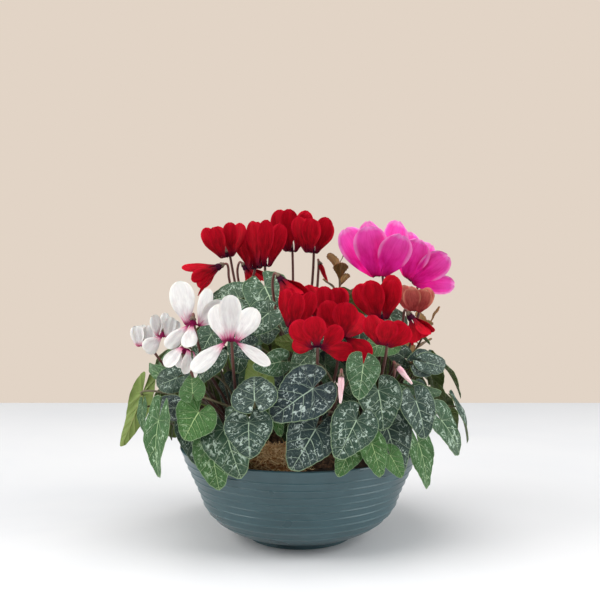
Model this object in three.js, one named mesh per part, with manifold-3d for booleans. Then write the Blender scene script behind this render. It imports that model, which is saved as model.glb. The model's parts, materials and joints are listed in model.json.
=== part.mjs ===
// A low ribbed bowl planted with four cyclamens: white, two red ones and a pink one.
// Millimetres, +Z up. The origin is the centre of the pot's flat foot, and -Y is its front.

import * as THREE from 'three';
import { mergeVertices } from 'three/addons/utils/BufferGeometryUtils.js';
import Module from 'manifold-3d';

const wasm = await Module();
wasm.setup();

// Clear gap that neighbouring pieces keep
const gap = 0.3;

// Pot: outer radius and height of the points that its curved wall passes through, up to the
// lip, and the ribs that run round it
const footRadius = 60;
const footHeight = 4.5;
const wallOutline = [
  [67, 6.5], [79.5, 11.5], [90, 17.5], [97.5, 24], [107, 35],
  [113, 50], [120, 66], [127, 81], [132, 93], [135.5, 101],
];
const potHeight = 102;
const lipBevel = 1;
const lipWidth = 3.5;
const potWall = 3.5;
const potFloor = 8;
const floorRadius = 60;
const potSides = 28;
const ribCount = 9;
const ribLowest = 22;
const ribHighest = 88;
const ribDepth = 0.9;

// Soil, and the corms that stand half out of it in plain holes
const soilEdge = 93;
const soilMiddle = 96;
const holeRoom = 0.5;
const cormRadius = 22;
const cormHalfHeight = 16;
const cormCentre = 92;
const cormTop = 105.4;
const crownRadius = 12;
const crownHeight = 6;

// Mound of coir over the soil at the front rim
const moundCentre = [-26, -99];
const moundReach = [34, 17];
const moundHeight = 27;
const strandCount = 9;
const strandRadius = 0.9;

// Dome that the leaves lie along: half width, half depth, its foot and its height
const domeWide = 185;
const domeDeep = 150;
const domeFoot = 95;
const domeTall = 190;
const viewerSide = new THREE.Vector3(0, -0.9, 0.2);

// Leaves and stalks
const bladeThick = 1.6;
const sinusAngle = THREE.MathUtils.degToRad(165);
const innerRing = 0.55;
const petioleRadius = 1.4;
const peduncleRadius = 1.5;
const bladeClear = 5.5;
const stalkClear = 4.2;

// How far round the crown the feet of the leaf stalks and of the flower stalks stand, and the
// radii of the rings that they stand on
const petioleFan = 280;
const petioleRings = [9, 6.8];
const peduncleFan = 310;
const peduncleRing = [4.2];

// Flowers: corolla tube, calyx, petals and closed buds
const tubeLength = 6;
const tubeTop = 2.8;
const mouthRadius = 4.2;
const calyxHeight = 3.4;
const petalThick = 1.4;
const petalStep = 66;
const petalBend = 7;
const petalStations = [0.16, 0.5, 0.86];
const budRadius = 3;

// Companion sprigs: depth of their stalks' feet, stalk radius and number of leaves
const sprigDepth = 70;
const sprigRadius = 1.8;
const sprigLeaves = 9;

// Where each plant stands in the pot
const plants = {
  white: [-70, -42],
  red_front: [18, -66],
  pink: [82, -4],
  red_back: [-18, 58],
};

const colours = {
  pot: 0x4c6167,
  soil: 0x3a2c22,
  coir: 0x8a5f36,
  corm: 0x6b4d38,
  foliage: 0x3f5a49,
  bronze: 0x6f4a2c,
  red: 0xb80018,
  white: 0xf2efea,
  pink: 0xe5389f,
  salmon: 0xb4604f,
  blush: 0xe9b4bf,
};

// Leaves that show from the front: plant, attachment (across, up), tip (across, up), width,
// how far attachment and tip stand in front of the dome, and the roll about the midrib
const frontLeaves = [
  ['white', [-101, 158], [-117, 132], 46, 4, 12, 0],
  ['white', [-75, 143], [-61, 99], 54, -8, 2, 0],
  ['white', [-89, 124], [-84, 82], 42, -14, -6, 0],
  ['white', [-104, 175], [-107, 194], 28, 6, 10, 0],
  ['white', [-128, 188], [-162, 171], 28, 0, 6, -30],
  ['white', [-150, 186], [-182, 188], 22, -6, 0, -40],
  ['white', [-118, 199], [-143, 204], 28, -6, 0, -20],
  ['white', [-75, 205], [-91, 181], 30, -6, 2, 0],
  ['white', [-122, 160], [-160, 151], 28, -2, 2, -25],
  ['white', [-135, 146], [-146, 87], 38, 2, 8, 20],
  ['white', [-120, 143], [-112, 103], 30, -12, -8, 0],
  ['white', [-180, 160], [-197, 102], 28, 0, 0, 150],
  ['white', [-172, 150], [-172, 124], 14, 0, 0, 0],
  ['red_front', [-50, 152], [-49, 121], 48, 4, 12, 0],
  ['red_front', [-44, 173], [-47, 198], 46, 8, -2, 0],
  ['red_front', [-41, 186], [-46, 216], 30, -14, -18, 180],
  ['red_front', [-25, 164], [-19, 138], 18, -10, -6, 0],
  ['red_front', [-49, 222], [-68, 214], 26, -8, -4, -20],
  ['red_front', [20, 189], [-21, 163], 52, 2, 8, 0],
  ['red_front', [15, 144], [-8, 107], 50, -10, -2, 0],
  ['red_front', [39, 162], [21, 130], 46, 0, 10, 0],
  ['red_front', [51, 127], [38, 99], 29, -12, -6, 0],
  ['red_front', [60, 200], [55, 172], 34, 2, 10, 0],
  ['red_front', [12, 222], [-3, 209], 26, -6, 6, 0],
  ['red_front', [-4, 212], [-28, 207], 28, -10, 2, -35],
  ['red_front', [-2, 226], [-26, 228], 20, -12, -8, 160],
  ['red_front', [9, 163], [0, 149], 18, -12, -8, 0],
  ['red_front', [63, 153], [67, 124], 42, -14, -4, 0],
  ['pink', [80, 183], [86, 148], 47, 4, 12, 0],
  ['pink', [99, 212], [72, 206], 30, -8, -4, 0],
  ['pink', [119, 167], [131, 131], 39, 2, 10, 0],
  ['pink', [150, 140], [184, 99], 38, -16, 26, -10],
  ['pink', [93, 143], [109, 96], 48, -8, 4, 0],
  ['pink', [129, 119], [147, 66], 28, -14, -8, 0],
  ['red_front', [67, 127], [77, 95], 27, -18, -12, 0],
  ['pink', [91, 113], [105, 90], 22, -18, -12, 0],
  ['pink', [125, 208], [159, 202], 30, 0, 4, 20],
  ['pink', [126, 190], [162, 176], 22, 0, 2, 35],
  ['pink', [114, 210], [92, 225], 26, -8, -6, 0],
  ['pink', [122, 172], [160, 155], 18, -6, 0, 50],
  ['red_back', [-68, 268], [-107, 269], 40, -20, -8, -15],
  ['red_front', [-34, 272], [-15, 236], 50, -10, -14, 0],
  ['red_front', [-22, 246], [-48, 226], 36, -4, 4, 0],
  ['red_back', [5, 276], [-20, 284], 28, -30, -24, 0],
  ['red_back', [20, 266], [24, 285], 22, -52, -50, 0],
  ['pink', [64, 236], [56, 204], 38, -26, -20, 0],
  ['red_front', [22, 246], [6, 218], 36, -30, -22, 0],
  ['pink', [104, 238], [118, 210], 36, -26, -16, 0],
  ['white', [-96, 232], [-112, 204], 36, -22, -14, 0],
  ['white', [-58, 228], [-66, 198], 34, -26, -20, 0],
];

// Rows of leaves round the back and the flanks: plant, first and last bearing, number,
// height of the attachment, and leaf length
const backRows = [
  ['red_back', 62, 146, 5, 134, 50],
  ['red_back', 70, 138, 4, 182, 48],
  ['red_back', 84, 132, 3, 228, 44],
  ['red_back', 62, 150, 3, 262, 46],
  ['pink', -6, 42, 3, 142, 46],
  ['pink', 0, 52, 3, 186, 42],
  ['pink', 27, 46, 2, 236, 36],
  ['white', 164, 188, 2, 204, 38],
  ['white', 158, 170, 1, 150, 42],
];

// Flowers: name, plant, colour, centre of the mouth, lean of the axis and its bearing, bearing
// of the stalk, how far the petals splay, petal length and width, which way they point (1 turned
// back past the calyx, -1 still forward), and how far each petal twists at its claw. Splay,
// length, width and twist are one number for all five petals, or one each from the stalk's left
// round to its right
const flowers = [
  [
    'back_1', 'red_back', 'red', [-86, 35, 314], 10, 180, 60,
    18, 44, 20, 1, [20, 65, -20, 35, -50],
  ],
  ['back_2', 'red_back', 'red', [-55, 72, 300], 3, 180, 90, 13, 57, 21, 1, [50, -50, 0, 65, -50]],
  ['back_3', 'red_back', 'red', [-42, 20, 303], 3, 0, 90, 12, 56, 19, 1, [35, -50, 0, 65, -50]],
  ['back_4', 'red_back', 'red', [-12, 65, 321], 4, 0, 80, 15, 54, 25, 1, [35, 80, -20, 50, -50]],
  ['back_5', 'red_back', 'red', [13, 22, 319], 6, 0, 80, 14, 46, 23, 1, [50, 80, 0, 50, -50]],
  ['back_6', 'red_back', 'red', [-95, 2, 302], 62, 0, 60, 28, 38, 15, -1, 25],
  ['back_7', 'red_back', 'red', [-67, 95, 300], 37, 180, 80, 22, 30, 16, -1, 25],
  [
    'front_1', 'red_front', 'red', [-6, -108, 241], 8, 0, 90,
    13, 43, 18, 1, [35, -50, 0, 65, -50],
  ],
  [
    'front_2', 'red_front', 'red', [17, -138, 225], 20, 100, 80,
    [64, 26, 35, 50, 92], [37, 34, 33, 30, 42], [19, 22, 25, 20, 20], 1, [80, -50, 0, 50, 65],
  ],
  [
    'front_3', 'red_front', 'red', [42, -104, 231], 16, 80, 100,
    [24, 18, 28, 132, 36], [44, 42, 40, 35, 46], [23, 25, 27, 24, 25], 1, [65, -50, 20, 80, -50],
  ],
  [
    'front_4', 'red_front', 'red', [28, -58, 243], 5, 90, 80,
    16, 44, 22, 1, [35, 80, -20, 50, -50],
  ],
  ['front_5', 'pink', 'red', [83, -122, 225], 15, 0, 90, 26, 32, 22, 1, [35, 80, -20, 65, -50]],
  ['front_6', 'pink', 'red', [86, -68, 247], 6, 180, 60, 17, 48, 25, 1, [35, 80, -20, 50, -50]],
  ['front_7', 'pink', 'red', [118, -76, 248], 32, 170, 60, 24, 28, 18, -1, 25],
  ['front_8', 'red_front', 'red', [-19, -68, 288], 40, 160, 80, 22, 30, 18, -1, 25],
  [
    'left_1', 'white', 'white', [-68, -136, 230], 10, 90, 90,
    [22, 134, 10, 118, 36], [42, 46, 50, 50, 46], [23, 18, 22, 13, 24], 1, [50, 65, 0, 80, -50],
  ],
  [
    'left_2', 'white', 'white', [-110, -98, 243], 8, 90, 90,
    [17, 133, 142, 54, 12], [56, 36, 34, 43, 46], [24, 15, 16, 22, 14], 1, [50, 65, 0, 65, -50],
  ],
  [
    'left_3', 'white', 'white', [-144, -72, 229], 8, 0, 60,
    [10, 12, 128, 12, 16], [27, 27, 26, 26, 24], [12, 12, 17, 12, 10], 1, [20, 65, 50, 35, 80],
  ],
  [
    'left_4', 'white', 'white', [-168, -52, 217], 10, 90, 60,
    12, 27, 12, 1, [20, 80, -20, 35, 80],
  ],
  ['left_5', 'white', 'white', [-112, -128, 222], 160, 180, 60, 22, 28, 15, 1, 25],
  [
    'right_1', 'pink', 'pink', [89, -14, 292], 2, 180, 60,
    [14, 26, 20, 34, 12], [68, 70, 64, 60, 70], [27, 32, 34, 32, 28], 1, [20, 80, -20, 35, 80],
  ],
  [
    'right_2', 'pink', 'pink', [130, 40, 287], 38, 5, 110,
    [14, 30, 34, 25, 50], [60, 60, 56, 60, 52], [30, 31, 31, 28, 22], 1, [0, 80, -35, 35, 80],
  ],
  ['right_3', 'pink', 'salmon', [126, -34, 254], 5, 0, 60, 18, 31, 18, 1, [20, 80, -20, 50, 80]],
];

// Closed buds: name, plant, colour, top of the bud, its tip and the bearing of the stalk
const buds = [
  ['front', 'red_front', 'blush', [40, -146, 197], [39, -147, 171], 90],
  ['right', 'pink', 'blush', [98, -116, 203], [112, -120, 186], 90],
  ['back', 'red_back', 'red', [24, 50, 306], [33, 48, 284], 90],
];

// Companion sprigs with bronze leaves: name, foot in the soil, top of the stalk, leaf length
const sprigs = [
  ['left', [50, 26], [46, 30, 306], 25],
  ['right', [98, 42], [152, 26, 236], 23],
];

const rad = THREE.MathUtils.degToRad;

// A number from 0 to 1 that a seed always gives again
function draw(seed) {
  const value = Math.sin(seed * 12.9898 + 4.1414) * 43758.5453;
  return value - Math.floor(value);
}

function solidFrom(geometry) {
  const bare = geometry.clone();
  bare.deleteAttribute('normal');
  bare.deleteAttribute('uv');
  const merged = mergeVertices(bare, 1e-4);
  const positions = new Float32Array(merged.attributes.position.array);
  const triangles = new Uint32Array(merged.index.array);
  if (signedVolume(positions, triangles) < 0) {
    triangles.reverse();
  }
  const mesh = new wasm.Mesh({ numProp: 3, vertProperties: positions, triVerts: triangles });
  return new wasm.Manifold(mesh);
}

function signedVolume(positions, triangles) {
  const corner = (k) => new THREE.Vector3().fromArray(positions, 3 * triangles[k]);
  let volume = 0;
  for (let k = 0; k < triangles.length; k += 3) {
    volume += corner(k).dot(corner(k + 1).cross(corner(k + 2)));
  }
  return volume;
}

function geometryFrom(solid) {
  const mesh = solid.getMesh();
  const geometry = new THREE.BufferGeometry();
  geometry.setAttribute('position', new THREE.BufferAttribute(mesh.vertProperties, 3));
  geometry.setIndex(new THREE.BufferAttribute(mesh.triVerts, 1));
  geometry.computeVertexNormals();
  return geometry;
}

// Only the body itself is kept, without the small hollows that crossing pieces seal
function joined(solids) {
  const bodies = solids.reduce((whole, next) => whole.add(next)).decompose();
  return bodies.reduce((large, next) => (next.volume() > large.volume() ? next : large));
}

function pointGeometry(points, triangles) {
  const geometry = new THREE.BufferGeometry().setFromPoints(points);
  geometry.setIndex(triangles.flat());
  return geometry;
}

function turned(profile, sides) {
  return new THREE.LatheGeometry(profile.map(([r, z]) => new THREE.Vector2(r, z)), sides)
    .rotateX(Math.PI / 2);
}

// A curve that an extrusion follows exactly from point to point
class StationCurve extends THREE.Curve {
  constructor(points) {
    super();
    this.points = points;
  }

  getPoint(t, target = new THREE.Vector3()) {
    const place = t * (this.points.length - 1);
    const k = Math.min(this.points.length - 2, Math.floor(place));
    return target.lerpVectors(this.points[k], this.points[k + 1], place - k);
  }

  getPointAt(u, target) {
    return this.getPoint(u, target);
  }

  getTangentAt(u, target = new THREE.Vector3()) {
    const step = 0.5 / (this.points.length - 1);
    const ahead = this.getPoint(Math.min(1, u + step));
    const behind = this.getPoint(Math.max(0, u - step));
    return target.subVectors(ahead, behind).normalize();
  }
}

function tube(points, radius, sides) {
  const section = new THREE.Shape();
  for (let k = 0; k < sides; k++) {
    const angle = (2 * Math.PI * k) / sides;
    const corner = [radius * Math.cos(angle), radius * Math.sin(angle)];
    if (k === 0) {
      section.moveTo(...corner);
    } else {
      section.lineTo(...corner);
    }
  }
  return new THREE.ExtrudeGeometry(section, {
    steps: points.length - 1,
    bevelEnabled: false,
    extrudePath: new StationCurve(points),
  });
}

// Pot, soil, corms and coir

function outerWall() {
  const curve = new THREE.SplineCurve(wallOutline.map(([r, z]) => new THREE.Vector2(r, z)));
  return curve.getPoints(60).map((p) => [p.x, p.y]);
}

function radiusAt(line, height) {
  const after = line.findIndex(([, z]) => z >= height);
  if (after <= 0) {
    return line[0][0];
  }
  const [r0, z0] = line[after - 1];
  const [r1, z1] = line[after];
  return r0 + ((r1 - r0) * (height - z0)) / (z1 - z0);
}

const wallLine = outerWall();

// The inner wall runs one wall thickness inside the outer one
function innerWall(inset) {
  const wall = [0, 1, 3, 6, 8].map((k) => {
    const [r, z] = wallOutline[k];
    const [r1, z1] = wallOutline[k + 1];
    const slope = new THREE.Vector2(r1 - r, z1 - z).normalize().multiplyScalar(inset);
    return [r - slope.y, z + slope.x];
  });
  return [[floorRadius - inset + potWall, potFloor + inset - potWall], ...wall];
}

function potGeometry() {
  const pitch = (ribHighest - ribLowest) / (ribCount - 1);
  const [lipRadius, lipHeight] = wallOutline[wallOutline.length - 1];
  const [collarRadius, collarHeight] = wallOutline[wallOutline.length - 2];
  const outer = [[0, 0], [footRadius, 0], [footRadius, footHeight], wallOutline[0], wallOutline[1]];
  for (let k = 0; k < ribCount; k++) {
    const ridge = ribLowest + k * pitch;
    outer.push([radiusAt(wallLine, ridge - pitch / 2), ridge - pitch / 2]);
    outer.push([radiusAt(wallLine, ridge) + ribDepth, ridge]);
  }
  outer.push([collarRadius, collarHeight], [lipRadius, lipHeight]);
  outer.push([lipRadius - lipBevel, potHeight], [lipRadius - lipWidth, potHeight]);
  const inner = [[0, potFloor], ...innerWall(potWall)].reverse();
  return turned([...outer, ...inner], potSides);
}

function soilTop(radius) {
  const reach = Math.min(1, radius / 128);
  return soilMiddle + (soilEdge - soilMiddle) * reach * reach;
}

function cormProfile(grow) {
  const profile = [[0, cormCentre - cormHalfHeight - grow]];
  for (let k = 1; k < 4; k++) {
    const angle = rad(-90 + k * 38);
    profile.push([
      (cormRadius + grow) * Math.cos(angle),
      cormCentre + (cormHalfHeight + grow) * Math.sin(angle),
    ]);
  }
  profile.push([crownRadius, cormTop], [0, cormTop]);
  return profile;
}

function cormGeometry([x, y], grow = 0) {
  return turned(cormProfile(grow), 8).translate(x, y, 0);
}

function holeGeometry([x, y], radius, bottom, sides) {
  return new THREE.CylinderGeometry(radius, radius, 60, sides).rotateX(Math.PI / 2)
    .translate(x, y, bottom + 30);
}

function soilGeometry() {
  const line = innerWall(potWall + gap + 0.1);
  const wall = line.filter(([, z]) => z < soilEdge);
  wall.push([radiusAt(line, soilEdge), soilEdge]);
  const top = [100, 60, 0].map((r) => [r, soilTop(r)]);
  let soil = solidFrom(turned([[0, wall[0][1]], ...wall, ...top], potSides));
  for (const place of Object.values(plants)) {
    soil = soil.subtract(solidFrom(cormGeometry(place, holeRoom)));
    soil = soil.subtract(solidFrom(holeGeometry(place, cormRadius + holeRoom, cormCentre, 8)));
  }
  for (const [, foot] of sprigs) {
    soil = soil.subtract(solidFrom(holeGeometry(foot, sprigRadius + 1, sprigDepth, 6)));
  }
  return geometryFrom(soil);
}

// The mound's underside is level, just clear of the soil under its inner edge
const moundBase = soilTop(Math.abs(moundCentre[1]) - moundReach[1]) + gap;

// A low mound with a ragged top and blunt strands of fibre sunk into it
function coirGeometry() {
  const ringSizes = [1, 0.82, 0.45];
  const ringHeights = [0, 0.5, 0.88];
  const sides = 11;
  const points = [];
  for (let ring = 0; ring < ringSizes.length; ring++) {
    for (let k = 0; k < sides; k++) {
      const angle = (2 * Math.PI * k) / sides;
      const rough = ring === 0 ? 1 : 0.86 + 0.28 * draw(31 * ring + k);
      points.push(new THREE.Vector3(
        moundCentre[0] + moundReach[0] * ringSizes[ring] * Math.cos(angle) * rough,
        moundCentre[1] + moundReach[1] * ringSizes[ring] * Math.sin(angle) * rough,
        moundBase + moundHeight * ringHeights[ring] * rough,
      ));
    }
  }
  points.push(new THREE.Vector3(...moundCentre, moundBase + moundHeight));
  points.push(new THREE.Vector3(...moundCentre, moundBase));
  const top = points.length - 2;
  const triangles = [];
  for (let k = 0; k < sides; k++) {
    const next = (k + 1) % sides;
    for (let ring = 0; ring < ringSizes.length - 1; ring++) {
      const row = ring * sides;
      triangles.push([row + k, row + next, row + sides + next]);
      triangles.push([row + k, row + sides + next, row + sides + k]);
    }
    const last = (ringSizes.length - 1) * sides;
    triangles.push([last + k, last + next, top], [next, k, top + 1]);
  }
  return pointGeometry(points, triangles);
}

function strandGeometry(index) {
  const angle = 2 * Math.PI * draw(index + 500);
  const out = 0.75 * Math.sqrt(draw(index + 540));
  const foot = new THREE.Vector3(
    moundCentre[0] + moundReach[0] * out * Math.cos(angle),
    moundCentre[1] + moundReach[1] * out * Math.sin(angle),
    moundBase + moundHeight * (0.9 - 0.75 * out * out),
  );
  const lean = 2 * Math.PI * draw(index + 580);
  const tip = foot.clone().add(new THREE.Vector3(
    7 * Math.cos(lean),
    4 * Math.sin(lean),
    5 + 4 * draw(index + 620),
  ));
  const sunk = foot.clone().lerp(tip, -0.6);
  return tube([sunk, tip], strandRadius, 3);
}

function moundSolid() {
  const strands = Array.from({ length: strandCount }, (_, k) => solidFrom(strandGeometry(k)));
  const above = solidFrom(new THREE.BoxGeometry(120, 80, 80)
    .translate(moundCentre[0], moundCentre[1], moundBase + 40));
  return joined([solidFrom(coirGeometry()), ...strands]).intersect(above);
}

// Leaves

function domeShare(height) {
  const rise = Math.min(1, Math.max(0, height - domeFoot) / domeTall);
  return Math.pow(1 - Math.pow(rise, 2.2), 0.909);
}

function domeFront(across, height) {
  const share = domeShare(height) - (across / domeWide) ** 2;
  return -domeDeep * Math.sqrt(Math.max(0.01, share));
}

function domeNormal(p) {
  return new THREE.Vector3(
    p.x / domeWide ** 2,
    p.y / domeDeep ** 2,
    Math.max(0, p.z - domeFoot) / domeTall ** 2,
  ).normalize();
}

function frontLeaf([plant, root, tip, width, rootLift, tipLift, roll]) {
  const place = ([x, z], lift) => new THREE.Vector3(x, domeFront(x, z) - lift, z);
  return {
    plant, root: place(root, rootLift), tip: place(tip, tipLift), width, roll, turnToFront: 1,
  };
}

function backLeaf([plant, first, last, count, height, length], rowIndex, k) {
  const seed = 40 * rowIndex + k;
  const share = count > 1 ? k / (count - 1) : 0.5;
  const bearing = rad(first + (last - first) * share + 8 * (draw(seed) - 0.5));
  const place = (z, lift) => {
    const reach = Math.sqrt(domeShare(z));
    return new THREE.Vector3(
      (domeWide * reach + lift) * Math.cos(bearing),
      (domeDeep * reach + lift) * Math.sin(bearing),
      z,
    );
  };
  const rootHeight = height + 14 * (draw(seed + 7) - 0.5);
  const root = place(rootHeight, -6);
  const tip = place(rootHeight - 0.8 * length, 6);
  tip.x += 16 * (draw(seed + 13) - 0.5);
  return {
    plant, root, tip, width: length * (1.05 + 0.2 * draw(seed + 19)), roll: 0, turnToFront: 0,
  };
}

function allLeaves() {
  const leaves = frontLeaves.map(frontLeaf);
  backRows.forEach((row, rowIndex) => {
    for (let k = 0; k < row[3]; k++) {
      leaves.push(backLeaf(row, rowIndex, k));
    }
  });
  leaves.forEach((leaf, index) => {
    leaf.index = index;
    setLeafFrame(leaf);
  });
  return leaves;
}

function setLeafFrame(leaf) {
  const along = leaf.tip.clone().sub(leaf.root);
  leaf.goal = leaf.root;
  leaf.length = along.length();
  leaf.along = along.normalize();
  const middle = leaf.root.clone().lerp(leaf.tip, 0.5);
  const face = domeNormal(middle);
  face.addScaledVector(viewerSide, leaf.turnToFront);
  face.addScaledVector(leaf.along, -face.dot(leaf.along)).normalize();
  leaf.face = face.applyAxisAngle(leaf.along, rad(leaf.roll));
  leaf.side = new THREE.Vector3().crossVectors(leaf.face, leaf.along);
}

// Heart-shaped outline: distance of the edge from the sinus over the leaf's length
function leafOutline(angle) {
  const lobe = (Math.abs(angle) / sinusAngle) ** 6;
  return 0.62 + 0.1 * Math.cos(angle) + 0.28 * Math.exp(-((angle / 0.42) ** 2)) - 0.12 * lobe;
}

function bladePoint(leaf, rho, angle, shift) {
  const reach = leaf.length * rho * leafOutline(angle);
  const u = reach * Math.cos(angle);
  const v = (leaf.width / 1.234 / leaf.length) * reach * Math.sin(angle);
  const phase = 6.28 * draw(leaf.index + 300);
  let rise = -0.1 * (u * u + v * v) / leaf.length;
  rise += 0.14 * Math.abs(v);
  rise += 0.03 * leaf.length * rho ** 3 * Math.sin(4 * angle + phase);
  if (u > 0) {
    rise -= 0.12 * u * u / leaf.length;
  }
  return leaf.root.clone().add(shift)
    .addScaledVector(leaf.along, u)
    .addScaledVector(leaf.side, v)
    .addScaledVector(leaf.face, rise);
}

const outerAngles = [-165, -140, -110, -80, -50, -22, 0, 22, 50, 80, 110, 140, 165].map(rad);
const innerAngles = outerAngles.filter((_, k) => k % 2 === 0);

// The petiole's sections run from the blade's underside down to the crown
function petioleSections(leaf) {
  const stations = [1, 0.84, 0.45, 0].map((t) => leaf.petiole.getPoint(t));
  let side = leaf.side;
  return stations.map((centre, k) => {
    const ahead = stations[Math.min(k + 1, stations.length - 1)];
    const behind = stations[Math.max(k - 1, 0)];
    const down = k === 0 ? leaf.face.clone().negate() : ahead.clone().sub(behind).normalize();
    side = side.clone().addScaledVector(down, -side.dot(down)).normalize();
    const front = new THREE.Vector3().crossVectors(down, side);
    const at = (across, forward) => centre.clone()
      .addScaledVector(side, across * petioleRadius)
      .addScaledVector(front, forward * petioleRadius);
    return [at(-0.87, -0.5), at(0, 1), at(0.87, -0.5)];
  });
}

// A blade with its petiole in one body. Both faces have the same triangles and meet along the
// edge, and the petiole opens into the lower face at the sinus.
function leafGeometry(leaf) {
  const half = leaf.face.clone().multiplyScalar(bladeThick / 2);
  const outer = outerAngles.map((angle) => bladePoint(leaf, 1, angle, leaf.shift));
  const inner = innerAngles.map((angle) => bladePoint(leaf, innerRing, angle, leaf.shift));
  const last = inner.length - 1;
  const points = [...outer];
  const addPoint = (p) => points.push(p) - 1;
  const sinus = addPoint(bladePoint(leaf, 0, 0, leaf.shift).add(half));
  const upper = inner.map((p, k) => addPoint(k % last === 0 ? p : p.clone().add(half)));
  const lower = inner.map((p, k) => (k % last === 0 ? upper[k] : addPoint(p.clone().sub(half))));
  const rings = petioleSections(leaf).map((ring) => ring.map(addPoint));
  const [left, front, right] = rings[0];
  const triangles = [];
  const addRim = (near, far, k, flip) => {
    const added = [[near, 2 * k, 2 * k + 1], [near, 2 * k + 1, far], [far, 2 * k + 1, 2 * k + 2]];
    triangles.push(...added.map(([a, b, c]) => (flip ? [a, c, b] : [a, b, c])));
  };
  for (let k = 0; k < last; k++) {
    triangles.push([sinus, upper[k], upper[k + 1]]);
    addRim(upper[k], upper[k + 1], k, false);
    addRim(lower[k], lower[k + 1], k, true);
    const root = [left, left, front, front, right, right][k];
    triangles.push([root, lower[k + 1], lower[k]]);
  }
  triangles.push([left, front, lower[2]], [front, right, lower[4]]);
  triangles.push([sinus, left, lower[0]], [sinus, right, left], [sinus, lower[last], right]);
  for (let row = 0; row + 1 < rings.length; row++) {
    for (let k = 0; k < 3; k++) {
      const next = (k + 1) % 3;
      const [a0, b0] = [rings[row][k], rings[row][next]];
      const [a1, b1] = [rings[row + 1][k], rings[row + 1][next]];
      triangles.push([b0, a0, a1], [b0, a1, b1]);
    }
  }
  const foot = rings[rings.length - 1];
  triangles.push([foot[0], foot[2], foot[1]]);
  return pointGeometry(points, triangles);
}

function bladeSamples(leaf, shift) {
  const samples = [bladePoint(leaf, 0, 0, shift)];
  for (const rho of [0.16, 0.33, 0.5, 0.67, 0.84, 1]) {
    const count = 3 + Math.round(0.55 * rho * leaf.length);
    for (let k = 0; k < count; k++) {
      const angle = sinusAngle * ((2 * k) / (count - 1) - 1);
      samples.push(bladePoint(leaf, rho, angle, shift));
    }
  }
  return samples;
}

// Flowers

function flowerFrame([name, plant, colour, mouth, lean, bearing, stalkBearing]) {
  const tilt = rad(lean);
  const axis = new THREE.Vector3(
    Math.sin(tilt) * Math.cos(rad(bearing)),
    Math.sin(tilt) * Math.sin(rad(bearing)),
    Math.cos(tilt),
  );
  const toStalk = new THREE.Vector3(
    Math.cos(rad(stalkBearing)),
    Math.sin(rad(stalkBearing)),
    -3 * Math.sin(tilt),
  );
  toStalk.addScaledVector(axis, -toStalk.dot(axis)).normalize();
  const across = new THREE.Vector3().crossVectors(axis, toStalk);
  return { name, plant, colour, mouth: new THREE.Vector3(...mouth), axis, toStalk, across };
}

// Distance out from the axis and height above the mouth along a petal's middle line
function petalLine(length, splay, way) {
  const start = rad(way > 0 ? -35 : -60);
  const end = way > 0 ? rad(90 - splay) : -rad(90 - splay);
  const steps = 50;
  const line = [[3, 1.5]];
  for (let k = 0; k < steps; k++) {
    const s = ((k + 0.5) * length) / steps;
    const bend = Math.min(1, s / petalBend);
    const eased = bend * bend * (3 - 2 * bend);
    const angle = start + (end - start) * eased;
    const [out, up] = line[k];
    line.push([
      out + (Math.cos(angle) * length) / steps,
      up + (Math.sin(angle) * length) / steps,
    ]);
  }
  return line;
}

function petalWidth(t) {
  const opening = Math.sin((Math.PI / 2) * Math.min(1, t / 0.66)) ** 3;
  const closing = Math.max(0, (t - 0.66) / 0.34) ** 2.4;
  return (0.15 + 0.85 * opening) * Math.sqrt(Math.max(0, 1 - closing));
}

function petalPoint(petal, t, across) {
  const place = t * 50;
  const k = Math.min(49, Math.floor(place));
  const [o0, u0] = petal.line[k];
  const [o1, u1] = petal.line[k + 1];
  const out = o0 + (o1 - o0) * (place - k);
  const up = u0 + (u1 - u0) * (place - k);
  const slope = new THREE.Vector2(o1 - o0, u1 - u0).normalize();
  const { flower, radial, sideways } = petal;
  const face = radial.clone().multiplyScalar(slope.y).addScaledVector(flower.axis, -slope.x);
  const twist = petal.twist * Math.min(1, t / 0.3);
  const wide = sideways.clone().multiplyScalar(Math.cos(twist))
    .addScaledVector(face, Math.sin(twist));
  const thick = new THREE.Vector3().crossVectors(wide, along(petal, slope)).normalize();
  const half = 0.5 * petal.width * petalWidth(t);
  const centre = flower.mouth.clone().addScaledVector(radial, out).addScaledVector(flower.axis, up);
  centre.addScaledVector(wide, across * half);
  centre.addScaledVector(thick, 0.16 * half * across * across);
  return { point: centre, thick };
}

function along(petal, slope) {
  return petal.radial.clone().multiplyScalar(slope.x).addScaledVector(petal.flower.axis, slope.y);
}

function petalsOf(row, rowIndex) {
  const flower = flowerFrame(row);
  const way = row[10];
  return Array.from({ length: 5 }, (_, k) => {
    const [splay, length, width, , twist] = row.slice(7).map((size) => size[k] ?? size);
    const seed = 10 * rowIndex + k + 900;
    const angle = Math.PI + rad(petalStep) * (k - 2) + rad(6) * (draw(seed) - 0.5);
    const radial = flower.toStalk.clone().multiplyScalar(Math.cos(angle))
      .addScaledVector(flower.across, Math.sin(angle));
    const sideways = new THREE.Vector3().crossVectors(flower.axis, radial);
    const petalLength = length * (0.94 + 0.12 * draw(seed + 5));
    return {
      flower,
      angle,
      radial,
      sideways,
      width: width * (0.94 + 0.12 * draw(seed + 17)),
      twist: rad(twist + 8 * (draw(seed + 23) - 0.5)),
      line: petalLine(petalLength, splay + 10 * (draw(seed + 29) - 0.5), way),
    };
  });
}

// Left edge, right edge and back of a petal at each station, then its tip
function petalSections(petal) {
  const sections = petalStations.map((t) => {
    const middle = petalPoint(petal, t, 0);
    return [
      petalPoint(petal, t, -1).point,
      petalPoint(petal, t, 1).point,
      middle.point.addScaledVector(middle.thick, -petalThick),
    ];
  });
  return [...sections, [petalPoint(petal, 1, 0).point]];
}

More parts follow.
